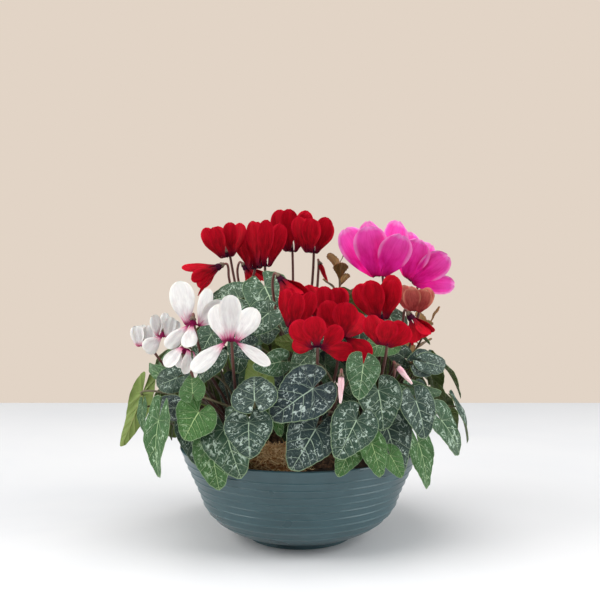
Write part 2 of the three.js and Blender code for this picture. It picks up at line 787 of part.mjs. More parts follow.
function standAt(geometry, origin, axis) {
  const turn = new THREE.Quaternion().setFromUnitVectors(new THREE.Vector3(0, 0, 1), axis);
  return geometry.applyQuaternion(turn).translate(origin.x, origin.y, origin.z);
}

// Corolla tube with a hollow mouth, and five petals that grow out of the rim of the mouth
function bloomGeometry(row, rowIndex) {
  const petals = petalsOf(row, rowIndex);
  const { flower } = petals[0];
  const points = [];
  const add = (p) => points.push(p) - 1;
  const onTube = (angle, out, up) => add(flower.mouth.clone()
    .addScaledVector(flower.toStalk, out * Math.cos(angle))
    .addScaledVector(flower.across, out * Math.sin(angle))
    .addScaledVector(flower.axis, up));
  const throat = onTube(0, 0, 3);
  const top = onTube(0, 0, tubeLength);
  const triangles = [];
  const ring = petals.map((petal) => {
    const middle = petal.angle;
    const [left, right] = [middle - rad(21), middle + rad(21)];
    const rim = [onTube(left, mouthRadius, 0), onTube(right, mouthRadius, 0)];
    const neck = [onTube(left, tubeTop, tubeLength), onTube(right, tubeTop, tubeLength)];
    const back = onTube(middle, mouthRadius - 0.2, 1.6);
    triangles.push([throat, rim[1], rim[0]], [top, neck[0], neck[1]]);
    triangles.push([rim[0], back, neck[0]], [back, neck[1], neck[0]], [back, rim[1], neck[1]]);
    let section = [rim[0], rim[1], back];
    for (const next of petalSections(petal)) {
      const ahead = next.map(add);
      for (let k = 0; k < 3; k++) {
        const [a, b] = [section[k], section[(k + 1) % 3]];
        if (ahead.length === 1) {
          triangles.push([a, b, ahead[0]]);
        } else {
          triangles.push([a, b, ahead[k]], [b, ahead[(k + 1) % 3], ahead[k]]);
        }
      }
      section = ahead;
    }
    return { rim, neck };
  });
  ring.forEach(({ rim, neck }, k) => {
    const next = ring[(k + 1) % ring.length];
    triangles.push([throat, next.rim[0], rim[1]], [top, neck[1], next.neck[0]]);
    triangles.push([rim[1], next.rim[0], neck[1]], [next.rim[0], next.neck[0], neck[1]]);
  });
  return pointGeometry(points, triangles);
}

function petalSamples(row, rowIndex) {
  return petalsOf(row, rowIndex).flatMap((petal) => [0.12, 0.3, 0.45, 0.6, 0.75, 0.9, 1]
    .flatMap((t) => [-1, -0.5, 0, 0.5, 1].map((across) => petalPoint(petal, t, across).point)));
}

function budFrame([name, plant, colour, top, tip, stalkBearing]) {
  const mouth = new THREE.Vector3(...tip);
  const axis = new THREE.Vector3(...top).sub(mouth);
  const length = axis.length();
  axis.normalize();
  const toStalk = new THREE.Vector3(
    Math.cos(rad(stalkBearing)),
    Math.sin(rad(stalkBearing)),
    0,
  );
  toStalk.addScaledVector(axis, -toStalk.dot(axis)).normalize();
  const across = new THREE.Vector3().crossVectors(axis, toStalk);
  return { name, plant, colour, mouth, axis, toStalk, across, length };
}

function budGeometry(bud) {
  const profile = [
    [0, 0], [1.1, 0.8], [2.1, 0.35 * bud.length], [budRadius, 0.72 * bud.length],
    [0.8 * budRadius, bud.length], [0, bud.length],
  ];
  return standAt(turned(profile, 6), bud.mouth, bud.axis);
}

// Stalks

function plantCrown(plant) {
  const [x, y] = plants[plant];
  return new THREE.Vector3(x, y, cormTop + gap + 2);
}

// The feet of a plant's stalks stand round its crown in the order of their bearings
function setFeet(plant, items, fan, ringRadii) {
  const centre = plantCrown(plant);
  const reach = (item) => new THREE.Vector2(item.goal.x - centre.x, item.goal.y - centre.y);
  const mean = items.reduce((sum, item) => sum.add(reach(item)), new THREE.Vector2()).angle();
  const offset = (item) => {
    const turn = reach(item).angle() - mean;
    return Math.atan2(Math.sin(turn), Math.cos(turn));
  };
  const sorted = [...items].sort((a, b) => offset(a) - offset(b));
  sorted.forEach((item, rank) => {
    const angle = mean + rad(fan) * (rank / Math.max(1, sorted.length - 1) - 0.5);
    const out = ringRadii[rank % ringRadii.length];
    const step = new THREE.Vector3(out * Math.cos(angle), out * Math.sin(angle), 0);
    item.foot = centre.clone().add(step);
  });
}

function petioleCurve(leaf, bow) {
  const start = leaf.foot.clone();
  const end = bladePoint(leaf, 0, 0, leaf.shift).addScaledVector(leaf.face, -bladeThick / 2);
  end.addScaledVector(leaf.along, petioleRadius / 2);
  const reach = end.clone().sub(start);
  const flat = new THREE.Vector3(reach.x, reach.y, 0).normalize();
  const aside = new THREE.Vector3(-flat.y, flat.x, 0);
  const rise = start.clone().addScaledVector(flat, 0.1 * reach.length());
  rise.z += 0.45 * reach.length();
  const under = end.clone().addScaledVector(leaf.face, -0.28 * reach.length());
  under.addScaledVector(leaf.along, -0.12 * reach.length());
  rise.addScaledVector(aside, bow);
  under.addScaledVector(aside, bow);
  return new THREE.CubicBezierCurve3(start, rise, under, end);
}

function peduncleCurve(flower, base, foot, bow) {
  const start = foot.clone();
  const lift = (up, out) => flower.mouth.clone()
    .addScaledVector(flower.axis, base + up)
    .addScaledVector(flower.toStalk, out);
  const end = lift(gap + calyxHeight - 0.6, 0);
  const over = lift(gap + calyxHeight + 2.2, 1.6);
  const past = lift(calyxHeight + 1.6, 7);
  const level = Math.abs(flower.axis.z);
  const below = past.clone().addScaledVector(flower.toStalk, 3.5 * level);
  below.z -= 10;
  const reach = below.clone().sub(start);
  const flat = new THREE.Vector3(reach.x, reach.y, 0).normalize();
  const aside = new THREE.Vector3(-flat.y, flat.x, 0);
  const low = start.clone().addScaledVector(reach, 0.3).addScaledVector(aside, bow);
  const high = start.clone().addScaledVector(reach, 0.68).addScaledVector(aside, bow);
  low.addScaledVector(flat, -0.08 * reach.length());
  high.addScaledVector(flat, 0.02 * reach.length());
  return new THREE.CatmullRomCurve3([start, low, high, below, past, over, end]);
}

function calyxGeometry(flower, base) {
  const profile = [[0, 0], [3.2, 0], [1.8, calyxHeight], [0, calyxHeight]];
  const origin = flower.mouth.clone().addScaledVector(flower.axis, base + gap);
  return standAt(turned(profile, 5), origin, flower.axis);
}

function crownGeometry(plant) {
  const [x, y] = plants[plant];
  const bottom = cormTop + gap;
  const profile = [
    [0, bottom], [crownRadius, bottom], [crownRadius - 2, bottom + crownHeight],
    [0, bottom + crownHeight + 1],
  ];
  return turned(profile, 8).translate(x, y, 0);
}

// Companion sprigs

function sprigCurve([, foot, top]) {
  const start = new THREE.Vector3(...foot, sprigDepth + gap);
  const end = new THREE.Vector3(...top);
  const middle = start.clone().lerp(end, 0.5);
  middle.x = foot[0] + 0.25 * (end.x - foot[0]);
  middle.y = foot[1] + 0.25 * (end.y - foot[1]);
  const soilLevel = new THREE.Vector3(...foot, soilMiddle + 4);
  return new THREE.CatmullRomCurve3([start, soilLevel, middle, end]);
}

function sprigLeafPoints(sprig, index) {
  const curve = sprigCurve(sprig);
  const place = curve.getPoint(1 - 0.024 * index);
  const bearing = 2.4 * index;
  const raise = rad(62 - 5 * index);
  const out = new THREE.Vector3(
    Math.cos(bearing) * Math.cos(raise),
    Math.sin(bearing) * Math.cos(raise),
    Math.sin(raise),
  );
  const side = new THREE.Vector3(-Math.sin(bearing), Math.cos(bearing), 0);
  const face = new THREE.Vector3().crossVectors(out, side);
  const length = sprig[3] * (0.8 + 0.3 * draw(index + 70));
  const at = (u, v, w) => place.clone().addScaledVector(out, u * length)
    .addScaledVector(side, v * length).addScaledVector(face, w);
  return [
    at(-0.03, 0, 0), at(0.3, 0.1, 0), at(0.66, 0.28, 0), at(0.88, 0.2, 0), at(1, 0, 0),
    at(0.88, -0.2, 0), at(0.66, -0.28, 0), at(0.3, -0.1, 0),
    at(0.6, 0, -0.8), at(0.6, 0, 0.8),
  ];
}

function sprigLeafGeometry(sprig, index) {
  const triangles = [];
  for (let k = 0; k < 8; k++) {
    const next = (k + 1) % 8;
    triangles.push([8, next, k], [9, k, next]);
  }
  return pointGeometry(sprigLeafPoints(sprig, index), triangles);
}

function sprigSolid(sprig) {
  const stalk = solidFrom(tube(sprigCurve(sprig).getPoints(6), sprigRadius, 5));
  const leaves = Array.from({ length: sprigLeaves }, (_, k) => (
    solidFrom(sprigLeafGeometry(sprig, k))
  ));
  return joined([stalk, ...leaves]);
}

// Clearing: a blade or a stalk that would come too near another one is moved or bowed

function nearest(samples, others) {
  let least = Infinity;
  for (const p of samples) {
    for (const q of others) {
      const distance = p.distanceToSquared(q);
      if (distance < least) {
        least = distance;
      }
    }
  }
  return Math.sqrt(least);
}

function clearOfPot(samples) {
  return samples.every((p) => {
    const radius = Math.hypot(p.x, p.y);
    const overRim = p.z > potHeight + 4;
    const outside = radius > radiusAt(wallLine, Math.max(7, p.z)) + 4;
    const inBowl = radius < 126 && p.z > soilMiddle + 5;
    return overRim || outside || inBowl;
  });
}

function shiftChoices(leaf) {
  const choices = [new THREE.Vector3()];
  for (const size of [3, 6, 9, 12, 15, 18]) {
    for (const direction of [leaf.face, leaf.along, leaf.side]) {
      choices.push(direction.clone().multiplyScalar(size));
      choices.push(direction.clone().multiplyScalar(-size));
    }
  }
  return choices;
}

function settleBlades(leaves, obstacles) {
  const laid = [];
  for (const leaf of leaves) {
    let best = -1;
    for (const shift of shiftChoices(leaf)) {
      const samples = bladeSamples(leaf, shift);
      const room = clearOfPot(samples) ? nearest(samples, [...obstacles, ...laid]) : 0;
      if (room > best) {
        best = room;
        leaf.shift = shift;
      }
      if (room >= bladeClear) {
        break;
      }
    }
    leaf.room = best;
    laid.push(...bladeSamples(leaf, leaf.shift));
  }
}

// Sideways bows that a stalk can take, the smallest first
const bowChoices = [0, 8, -8, 16, -16, 26, -26, 38, -38];

function settleStalk(curveFor, obstacles, from, to) {
  let best = -1;
  let chosen = null;
  for (const bow of bowChoices) {
    const curve = curveFor(bow);
    const samples = curve.getSpacedPoints(24).slice(from, to);
    const room = clearOfPot(samples) ? nearest(samples, obstacles) : 0;
    if (room > best) {
      best = room;
      chosen = curve;
    }
    if (room >= stalkClear) {
      break;
    }
  }
  chosen.room = best;
  return chosen;
}

function stalkSamples(curve) {
  return curve.getSpacedPoints(30);
}

const bloomFrames = flowers.map(flowerFrame);
const budFrames = buds.map(budFrame);
const bloomSamples = flowers.map(petalSamples);
const budSamples = budFrames.map((bud) => [0, 0.5, 1].flatMap((t) => [-3, 3].map((out) => (
  bud.mouth.clone().addScaledVector(bud.axis, t * bud.length).addScaledVector(bud.toStalk, out)
))));
const sprigSamples = sprigs.map((sprig) => [
  ...sprigCurve(sprig).getSpacedPoints(30),
  ...Array.from({ length: sprigLeaves }, (_, k) => sprigLeafPoints(sprig, k)).flat(),
]);
const leaves = allLeaves();

const stalks = [
  ...bloomFrames.map((flower, k) => (
    { flower, goal: flower.mouth, base: tubeLength, own: bloomSamples[k] }
  )),
  ...budFrames.map((bud, k) => (
    { flower: bud, goal: bud.mouth, base: bud.length, own: budSamples[k] }
  )),
];
const petalPoints = [...bloomSamples, ...budSamples];

for (const plant of Object.keys(plants)) {
  const flowerStalks = stalks.filter((stalk) => stalk.flower.plant === plant);
  const leafStalks = leaves.filter((leaf) => leaf.plant === plant);
  setFeet(plant, flowerStalks, peduncleFan, peduncleRing);
  setFeet(plant, leafStalks, petioleFan, petioleRings);
}
for (const stalk of stalks) {
  const others = petalPoints.filter((samples) => samples !== stalk.own).flat();
  const obstacles = [...others, ...sprigSamples.flat()];
  stalk.curve = settleStalk(
    (bow) => peduncleCurve(stalk.flower, stalk.base, stalk.foot, bow), obstacles, 4, 24,
  );
}
const stalkPoints = stalks.flatMap((stalk) => stalkSamples(stalk.curve).slice(6));
settleBlades(leaves, [...petalPoints.flat(), ...stalkPoints, ...sprigSamples.flat()]);

for (const leaf of leaves) {
  const blades = leaves.filter((other) => other !== leaf)
    .flatMap((other) => bladeSamples(other, other.shift));
  const laid = leaves.filter((other) => other.petiole)
    .flatMap((other) => stalkSamples(other.petiole).slice(6));
  leaf.petiole = settleStalk(
    (bow) => petioleCurve(leaf, bow),
    [...blades, ...stalkPoints, ...laid, ...petalPoints.flat(), ...sprigSamples.flat()],
    6,
    23,
  );
}

function plantSolid(plant) {
  const own = leaves.filter((leaf) => leaf.plant === plant);
  const leafSolids = own.map((leaf) => solidFrom(leafGeometry(leaf)));
  const ownStalks = stalks.filter((stalk) => stalk.flower.plant === plant);
  const peduncles = ownStalks.map((stalk) => {
    const stations = [0, 1.2, 2.2, 3, 3.7, 4.3, 5, 6].map((k) => stalk.curve.getPoint(k / 6));
    return solidFrom(tube(stations, peduncleRadius, 3));
  });
  const calyces = ownStalks.map((stalk) => solidFrom(calyxGeometry(stalk.flower, stalk.base)));
  return joined([solidFrom(crownGeometry(plant)), ...leafSolids, ...peduncles, ...calyces]);
}

// Assembly

const group = new THREE.Group();

function addPiece(name, geometry, colour, roughness) {
  const material = new THREE.MeshStandardMaterial({
    color: colours[colour],
    roughness,
    metalness: 0,
  });
  const mesh = new THREE.Mesh(geometry, material);
  mesh.name = name;
  group.add(mesh);
}

addPiece('pot', potGeometry(), 'pot', 0.45);
addPiece('soil', soilGeometry(), 'soil', 0.95);
addPiece('coir_mulch', geometryFrom(moundSolid()), 'coir', 0.95);

for (const [plant, place] of Object.entries(plants)) {
  addPiece(`${plant}_corm`, cormGeometry(place), 'corm', 0.9);
  addPiece(`${plant}_plant`, geometryFrom(plantSolid(plant)), 'foliage', 0.55);
}

flowers.forEach((row, rowIndex) => {
  addPiece(`${row[2]}_bloom_${row[0]}`, bloomGeometry(row, rowIndex), row[2], 0.6);
});

for (const bud of budFrames) {
  addPiece(`${bud.colour}_bud_${bud.name}`, budGeometry(bud), bud.colour, 0.6);
}

for (const sprig of sprigs) {
  addPiece(`bronze_sprig_${sprig[0]}`, geometryFrom(sprigSolid(sprig)), 'bronze', 0.6);
}

export default group;
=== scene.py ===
"""Looks of a potted cyclamen: a low ribbed bowl with white, red and pink cyclamens.

Lengths are millimetres until a mesh is made, which is in metres. +Z is up and -Y is the front.
Leaves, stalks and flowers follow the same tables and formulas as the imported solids, and each
blade's shift and each stalk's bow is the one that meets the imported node's own corners.
"""

import json
import math

import bpy
import numpy as np
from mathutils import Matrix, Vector, kdtree, noise

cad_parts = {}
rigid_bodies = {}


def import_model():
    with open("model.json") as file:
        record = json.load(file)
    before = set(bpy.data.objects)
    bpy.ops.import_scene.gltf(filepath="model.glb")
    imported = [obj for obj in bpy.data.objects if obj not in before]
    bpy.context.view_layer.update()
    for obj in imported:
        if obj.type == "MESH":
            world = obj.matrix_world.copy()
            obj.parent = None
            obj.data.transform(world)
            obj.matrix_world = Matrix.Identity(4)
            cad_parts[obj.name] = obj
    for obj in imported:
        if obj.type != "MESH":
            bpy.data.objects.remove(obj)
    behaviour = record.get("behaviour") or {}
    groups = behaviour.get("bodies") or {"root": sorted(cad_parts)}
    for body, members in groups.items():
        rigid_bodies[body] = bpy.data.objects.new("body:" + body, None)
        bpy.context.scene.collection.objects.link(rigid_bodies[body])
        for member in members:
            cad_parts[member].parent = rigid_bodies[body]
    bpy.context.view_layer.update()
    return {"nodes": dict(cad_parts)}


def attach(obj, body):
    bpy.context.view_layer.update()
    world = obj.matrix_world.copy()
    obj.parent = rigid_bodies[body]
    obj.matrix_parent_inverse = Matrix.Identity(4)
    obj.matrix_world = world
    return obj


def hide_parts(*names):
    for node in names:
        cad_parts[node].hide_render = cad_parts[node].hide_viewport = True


for thing in list(bpy.data.objects):
    bpy.data.objects.remove(thing)

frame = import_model()

MM = 0.001
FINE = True

# Rows and columns of the fine grids, steps and sides of the round bodies

PETAL_GRID = (26, 15) if FINE else (16, 9)
BLADE_GRID = (13, 65) if FINE else (9, 41)
YOUNG_GRID = (9, 37) if FINE else (9, 41)
STALK_STEPS, STALK_SIDES = (28, 8) if FINE else (16, 6)
POT_SIDES = 200 if FINE else 96
SOIL_RINGS, SOIL_SIDES = (68, 230) if FINE else (40, 100)
FIBRES = 1500 if FINE else 500
CORM_SIDES = 72
ROUND_SIDES = 40

# Sizes shared with the solids

GAP = 0.3
FOOT_RADIUS = 60
FOOT_HEIGHT = 4.5
WALL_OUTLINE = [
    (67, 6.5), (79.5, 11.5), (90, 17.5), (97.5, 24), (107, 35),
    (113, 50), (120, 66), (127, 81), (132, 93), (135.5, 101),
]
WALL_STEPS = 60
POT_HEIGHT = 102
POT_WALL = 3.5
POT_FLOOR = 8
FLOOR_RADIUS = 60
RIB_COUNT = 9
RIB_LOWEST = 22
RIB_HIGHEST = 88
RIB_DEPTH = 0.9

SOIL_EDGE = 93
SOIL_MIDDLE = 96
SOIL_REACH = 128
CORM_RADIUS = 22
CORM_HALF_HEIGHT = 16
CORM_CENTRE = 92
CORM_TOP = 105.4
CROWN_RADIUS = 12
CROWN_HEIGHT = 6

MOUND_CENTRE = (-26, -99)
MOUND_REACH = (34, 17)
MOUND_HEIGHT = 27

DOME_WIDE = 185
DOME_DEEP = 150
DOME_FOOT = 95
DOME_TALL = 190
VIEWER_SIDE = np.array([0, -0.9, 0.2])

# Outline of a blade: reach from the attachment, in blade lengths, by bearing from the midrib
OUTLINE_ROUND = 0.62
OUTLINE_EGG = 0.1
OUTLINE_TIP = 0.28
OUTLINE_TIP_SPREAD = 0.42
OUTLINE_LOBE = 0.12
OUTLINE_WIDTH = 1.234
SINUS = math.radians(165)
SAMPLE_SHARES = np.array([0.02, 0.25, 0.45, 0.62, 0.77, 0.9, 1.0])

# Lift of a blade out of its plane
BLADE_CUP = 0.1
BLADE_FOLD = 0.14
BLADE_WAVE = 0.03
BLADE_DROOP = 0.12

CAD_BLADE_THICK = 1.6
PETIOLE_RADIUS = 1.4
PEDUNCLE_RADIUS = 1.5
PETIOLE_FAN = 280
PETIOLE_RINGS = (9, 6.8)
PEDUNCLE_FAN = 310
PEDUNCLE_RING = (4.2,)

TUBE_LENGTH = 6
TUBE_TOP = 2.8
CALYX_HEIGHT = 3.4
PETAL_COUNT = 5
PETAL_STEP = 66
PETAL_ROOT = (3.0, 1.5)
PETAL_BEND = 7
LINE_STEPS = 50
PETAL_WIDEST = 0.66
CLAW_WIDTH = 0.2
BUD_RADIUS = 3
BUD_TWIST = 0.09

SPRIG_DEPTH = 70
SPRIG_LEAVES = 9

# Looks of the scene alone. Stalks have a radius at the foot and at the head, and a redness
PETIOLE = (1.5, 1.05, 0.15)
YOUNG_PETIOLE = (1.1, 0.7, 0.1)
PEDUNCLE = (1.7, 1.35, 1.0)
SPRIG_STALK = (1.8, 1.1, 0.5)
HALF_BLADE = 0.36
HALF_SEPAL = 0.22
HALF_SPRIG_BLADE = 0.3

# The rounded wall of the pot between its foot and its lip, and how far in the lip is at a height
WALL_PITCH = 0.45
WALL_TOP = 100.4
LIP_OUTLINE = [
    (0, 100.8), (0.15, 101.4), (0.7, 101.9), (1.4, POT_HEIGHT), (2.6, POT_HEIGHT), (3.2, 101.8),
    (3.6, 101.2),
]

# Rows and columns of the coir's core with its shade, and the thickness along a fibre
CORE_GRID = (20, 48)
CORE_TINT = -0.4
FIBRE_TAPER = np.array([0.5, 1, 1, 1, 1, 1, 0.9, 0.4])

# The pistil's height over the mouth and radius; a flower's tube inside and out; and shares of a
# bud's and of a bronze blade's length with the radius or half width there
PISTIL = [(4.4, 0.5), (2.0, 0.45), (-0.8, 0.35)]
TUBE_PROFILE = [
    (0, 4.2), (1.5, 4.0), (2.3, 2.6), (2.9, 0.9), (3.4, 0.15), (3.9, 0.1), (4.2, 0.6),
    (4.15, 1.7), (3.8, 3.2), (3.2, 4.6), (2.9, 5.4), (2.6, 5.95), (1.2, TUBE_LENGTH),
    (0, TUBE_LENGTH),
]
BUD_OUTLINE = [
    (0, 0.2), (0.03, 0.36), (0.18, 0.54), (0.35, 0.7), (0.55, 0.86), (0.72, 0.97), (0.8, 0.98),
    (0.9, 0.92), (1, 0.8),
]
SPRIG_BLADE = [
    (0, 0.04), (0.3, 0.16), (0.5, 0.29), (0.66, 0.37), (0.8, 0.34), (0.9, 0.25), (0.97, 0.12),
    (1, 0.03),
]

# Young leaves under the canopy: places tried, turn from one place to the next, and how far the
# blades and their stalks keep from everything else
YOUNG_TRIES = 6000
YOUNG_TURN = 2.399963
YOUNG_ROOM = 4.2
YOUNG_STALK_ROOM = 2.6
YOUNG_LOWEST = 116
YOUNG_HIGHEST = 212
YOUNG_HIGHEST_BEHIND = 238
YOUNG_FOOT_REACH = 10.2
YOUNG_BOWS = (0, 9, -9, 18, -18, 28, -28)
CROWN_LEAF_CENTRE = np.array([0, 18, 178])
CROWN_LEAF_SPREAD = np.array([120, 78, 62])
YOUNG_BOX = (-190, -155, 100), (185, 152, 300)
COIR_VIEW = (-66, -190, 60), (12, -58, 150)

PLANTS = {
    "white": (-70, -42),
    "red_front": (18, -66),
    "pink": (82, -4),
    "red_back": (-18, 58),
}

# Plant, attachment (across, up), tip (across, up), width, how far attachment and tip stand in
# front of the dome, roll; then how green the leaf is (0 blue-dark, 1 fresh green) and how much
# silver it has
FRONT_LEAVES = [
    ("white", (-101, 158), (-117, 132), 46, 4, 12, 0, 0.95, 0.2),
    ("white", (-75, 143), (-61, 99), 54, -8, 2, 0, 0.3, 0.8),
    ("white", (-89, 124), (-84, 82), 42, -14, -6, 0, 0.8, 0.45),
    ("white", (-104, 175), (-107, 194), 28, 6, 10, 0, 0.85, 0.2),
    ("white", (-128, 188), (-162, 171), 28, 0, 6, -30, 0.2, 0.5),
    ("white", (-150, 186), (-182, 188), 22, -6, 0, -40, 0.7, 0.4),
    ("white", (-118, 199), (-143, 204), 28, -6, 0, -20, 0.2, 0.5),
    ("white", (-75, 205), (-91, 181), 30, -6, 2, 0, 0.25, 0.5),
    ("white", (-122, 160), (-160, 151), 28, -2, 2, -25, 0.05, 0.7),
    ("white", (-135, 146), (-146, 87), 38, 2, 8, 20, 0.7, 0.5),
    ("white", (-120, 143), (-112, 103), 30, -12, -8, 0, 0.2, 0.4),
    ("white", (-180, 160), (-197, 102), 28, 0, 0, 150, 0.7, 0.2),
    ("white", (-172, 150), (-172, 124), 14, 0, 0, 0, 0.6, 0.3),
    ("red_front", (-50, 152), (-49, 121), 48, 4, 12, 0, 0.15, 0.9),
    ("red_front", (-44, 173), (-47, 198), 46, 8, -2, 0, 0.1, 0.8),
    ("red_front", (-41, 186), (-46, 216), 30, -14, -18, 180, 0.8, 0.1),
    ("red_front", (-25, 164), (-19, 138), 18, -10, -6, 0, 0.9, 0.1),
    ("red_front", (-49, 222), (-68, 214), 26, -8, -4, -20, 0.1, 0.7),
    ("red_front", (20, 189), (-21, 163), 52, 2, 8, 0, 0.0, 0.65),
    ("red_front", (15, 144), (-8, 107), 50, -10, -2, 0, 0.05, 0.6),
    ("red_front", (39, 162), (21, 130), 46, 0, 10, 0, 0.2, 0.8),
    ("red_front", (51, 127), (38, 99), 29, -12, -6, 0, 0.9, 0.4),
    ("red_front", (60, 200), (55, 172), 34, 2, 10, 0, 0.5, 0.35),
    ("red_front", (12, 222), (-3, 209), 26, -6, 6, 0, 0.4, 0.6),
    ("red_front", (-4, 212), (-28, 207), 28, -10, 2, -35, 0.45, 0.6),
    ("red_front", (-2, 226), (-26, 228), 20, -12, -8, 160, 0.6, 0.1),
    ("red_front", (9, 163), (0, 149), 18, -12, -8, 0, 0.9, 0.1),
    ("red_front", (63, 153), (67, 124), 42, -14, -4, 0, 0.15, 0.4),
    ("pink", (80, 183), (86, 148), 47, 4, 12, 0, 0.25, 0.8),
    ("pink", (99, 212), (72, 206), 30, -8, -4, 0, 0.8, 0.15),
    ("pink", (119, 167), (131, 131), 39, 2, 10, 0, 0.15, 0.6),
    ("pink", (150, 140), (184, 99), 38, -16, 26, -10, 0.4, 0.7),
    ("pink", (93, 143), (109, 96), 48, -8, 4, 0, 0.15, 0.9),
    ("pink", (129, 119), (147, 66), 28, -14, -8, 0, 0.75, 0.6),
    ("red_front", (67, 127), (77, 95), 27, -18, -12, 0, 0.9, 0.4),
    ("pink", (91, 113), (105, 90), 22, -18, -12, 0, 0.9, 0.2),
    ("pink", (125, 208), (159, 202), 30, 0, 4, 20, 0.1, 0.6),
    ("pink", (126, 190), (162, 176), 22, 0, 2, 35, 0.15, 0.7),
    ("pink", (114, 210), (92, 225), 26, -8, -6, 0, 0.2, 0.6),
    ("pink", (122, 172), (160, 155), 18, -6, 0, 50, 0.5, 0.3),
    ("red_back", (-68, 268), (-107, 269), 40, -20, -8, -15, 0.35, 1.0),
    ("red_front", (-34, 272), (-15, 236), 50, -10, -14, 0, 0.35, 1.0),
    ("red_front", (-22, 246), (-48, 226), 36, -4, 4, 0, 0.3, 0.9),
    ("red_back", (5, 276), (-20, 284), 28, -30, -24, 0, 0.1, 0.7),
    ("red_back", (20, 266), (24, 285), 22, -52, -50, 0, 0.3, 0.8),
    ("pink", (64, 236), (56, 204), 38, -26, -20, 0, 0.3, 0.6),
    ("red_front", (22, 246), (6, 218), 36, -30, -22, 0, 0.3, 0.6),
    ("pink", (104, 238), (118, 210), 36, -26, -16, 0, 0.3, 0.6),
    ("white", (-96, 232), (-112, 204), 36, -22, -14, 0, 0.3, 0.6),
    ("white", (-58, 228), (-66, 198), 34, -26, -20, 0, 0.3, 0.6),
]

# Plant, first and last bearing, number, height of the attachment, leaf length
BACK_ROWS = [
    ("red_back", 62, 146, 5, 134, 50),
    ("red_back", 70, 138, 4, 182, 48),
    ("red_back", 84, 132, 3, 228, 44),
    ("red_back", 62, 150, 3, 262, 46),
    ("pink", -6, 42, 3, 142, 46),
    ("pink", 0, 52, 3, 186, 42),
    ("pink", 27, 46, 2, 236, 36),
    ("white", 164, 188, 2, 204, 38),
    ("white", 158, 170, 1, 150, 42),
]

# Name, plant, colour, centre of the mouth, lean of the axis and its bearing, bearing of the
# stalk, splay of the petals, petal length and width, 1 turned back or -1 still forward, and the
# twist of the petals at the claw. Splay, length, width and twist are one number for all five
# petals, or one each
FLOWERS = [
    ("back_1", "red_back", "red", (-86, 35, 314), 10, 180, 60, 18, 44, 20, 1, (20, 65, -20, 35, -50)),
    ("back_2", "red_back", "red", (-55, 72, 300), 3, 180, 90, 13, 57, 21, 1, (50, -50, 0, 65, -50)),
    ("back_3", "red_back", "red", (-42, 20, 303), 3, 0, 90, 12, 56, 19, 1, (35, -50, 0, 65, -50)),
    ("back_4", "red_back", "red", (-12, 65, 321), 4, 0, 80, 15, 54, 25, 1, (35, 80, -20, 50, -50)),
    ("back_5", "red_back", "red", (13, 22, 319), 6, 0, 80, 14, 46, 23, 1, (50, 80, 0, 50, -50)),
    ("back_6", "red_back", "red", (-95, 2, 302), 62, 0, 60, 28, 38, 15, -1, 25),
    ("back_7", "red_back", "red", (-67, 95, 300), 37, 180, 80, 22, 30, 16, -1, 25),
    ("front_1", "red_front", "red", (-6, -108, 241), 8, 0, 90, 13, 43, 18, 1, (35, -50, 0, 65, -50)),
    (
        "front_2", "red_front", "red", (17, -138, 225), 20, 100, 80,
        (64, 26, 35, 50, 92), (37, 34, 33, 30, 42), (19, 22, 25, 20, 20), 1, (80, -50, 0, 50, 65),
    ),
    (
        "front_3", "red_front", "red", (42, -104, 231), 16, 80, 100,
        (24, 18, 28, 132, 36), (44, 42, 40, 35, 46), (23, 25, 27, 24, 25), 1, (65, -50, 20, 80, -50),
    ),
    ("front_4", "red_front", "red", (28, -58, 243), 5, 90, 80, 16, 44, 22, 1, (35, 80, -20, 50, -50)),
    ("front_5", "pink", "red", (83, -122, 225), 15, 0, 90, 26, 32, 22, 1, (35, 80, -20, 65, -50)),
    ("front_6", "pink", "red", (86, -68, 247), 6, 180, 60, 17, 48, 25, 1, (35, 80, -20, 50, -50)),
    ("front_7", "pink", "red", (118, -76, 248), 32, 170, 60, 24, 28, 18, -1, 25),
    ("front_8", "red_front", "red", (-19, -68, 288), 40, 160, 80, 22, 30, 18, -1, 25),
    (
        "left_1", "white", "white", (-68, -136, 230), 10, 90, 90,
        (22, 134, 10, 118, 36), (42, 46, 50, 50, 46), (23, 18, 22, 13, 24), 1, (50, 65, 0, 80, -50),
    ),
    (
        "left_2", "white", "white", (-110, -98, 243), 8, 90, 90,
        (17, 133, 142, 54, 12), (56, 36, 34, 43, 46), (24, 15, 16, 22, 14), 1, (50, 65, 0, 65, -50),
    ),
    (
        "left_3", "white", "white", (-144, -72, 229), 8, 0, 60,
        (10, 12, 128, 12, 16), (27, 27, 26, 26, 24), (12, 12, 17, 12, 10), 1, (20, 65, 50, 35, 80),
    ),
    ("left_4", "white", "white", (-168, -52, 217), 10, 90, 60, 12, 27, 12, 1, (20, 80, -20, 35, 80)),
    ("left_5", "white", "white", (-112, -128, 222), 160, 180, 60, 22, 28, 15, 1, 25),
    (
        "right_1", "pink", "pink", (89, -14, 292), 2, 180, 60,
        (14, 26, 20, 34, 12), (68, 70, 64, 60, 70), (27, 32, 34, 32, 28), 1, (20, 80, -20, 35, 80),
    ),
    (
        "right_2", "pink", "pink", (130, 40, 287), 38, 5, 110,
        (14, 30, 34, 25, 50), (60, 60, 56, 60, 52), (30, 31, 31, 28, 22), 1, (0, 80, -35, 35, 80),
    ),
    ("right_3", "pink", "salmon", (126, -34, 254), 5, 0, 60, 18, 31, 18, 1, (20, 80, -20, 50, 80)),
]

# Name, plant, colour, top of the bud, its tip, bearing of the stalk
BUDS = [
    ("front", "red_front", "blush", (40, -146, 197), (39, -147, 171), 90),
    ("right", "pink", "blush", (98, -116, 203), (112, -120, 186), 90),
    ("back", "red_back", "red", (24, 50, 306), (33, 48, 284), 90),
]

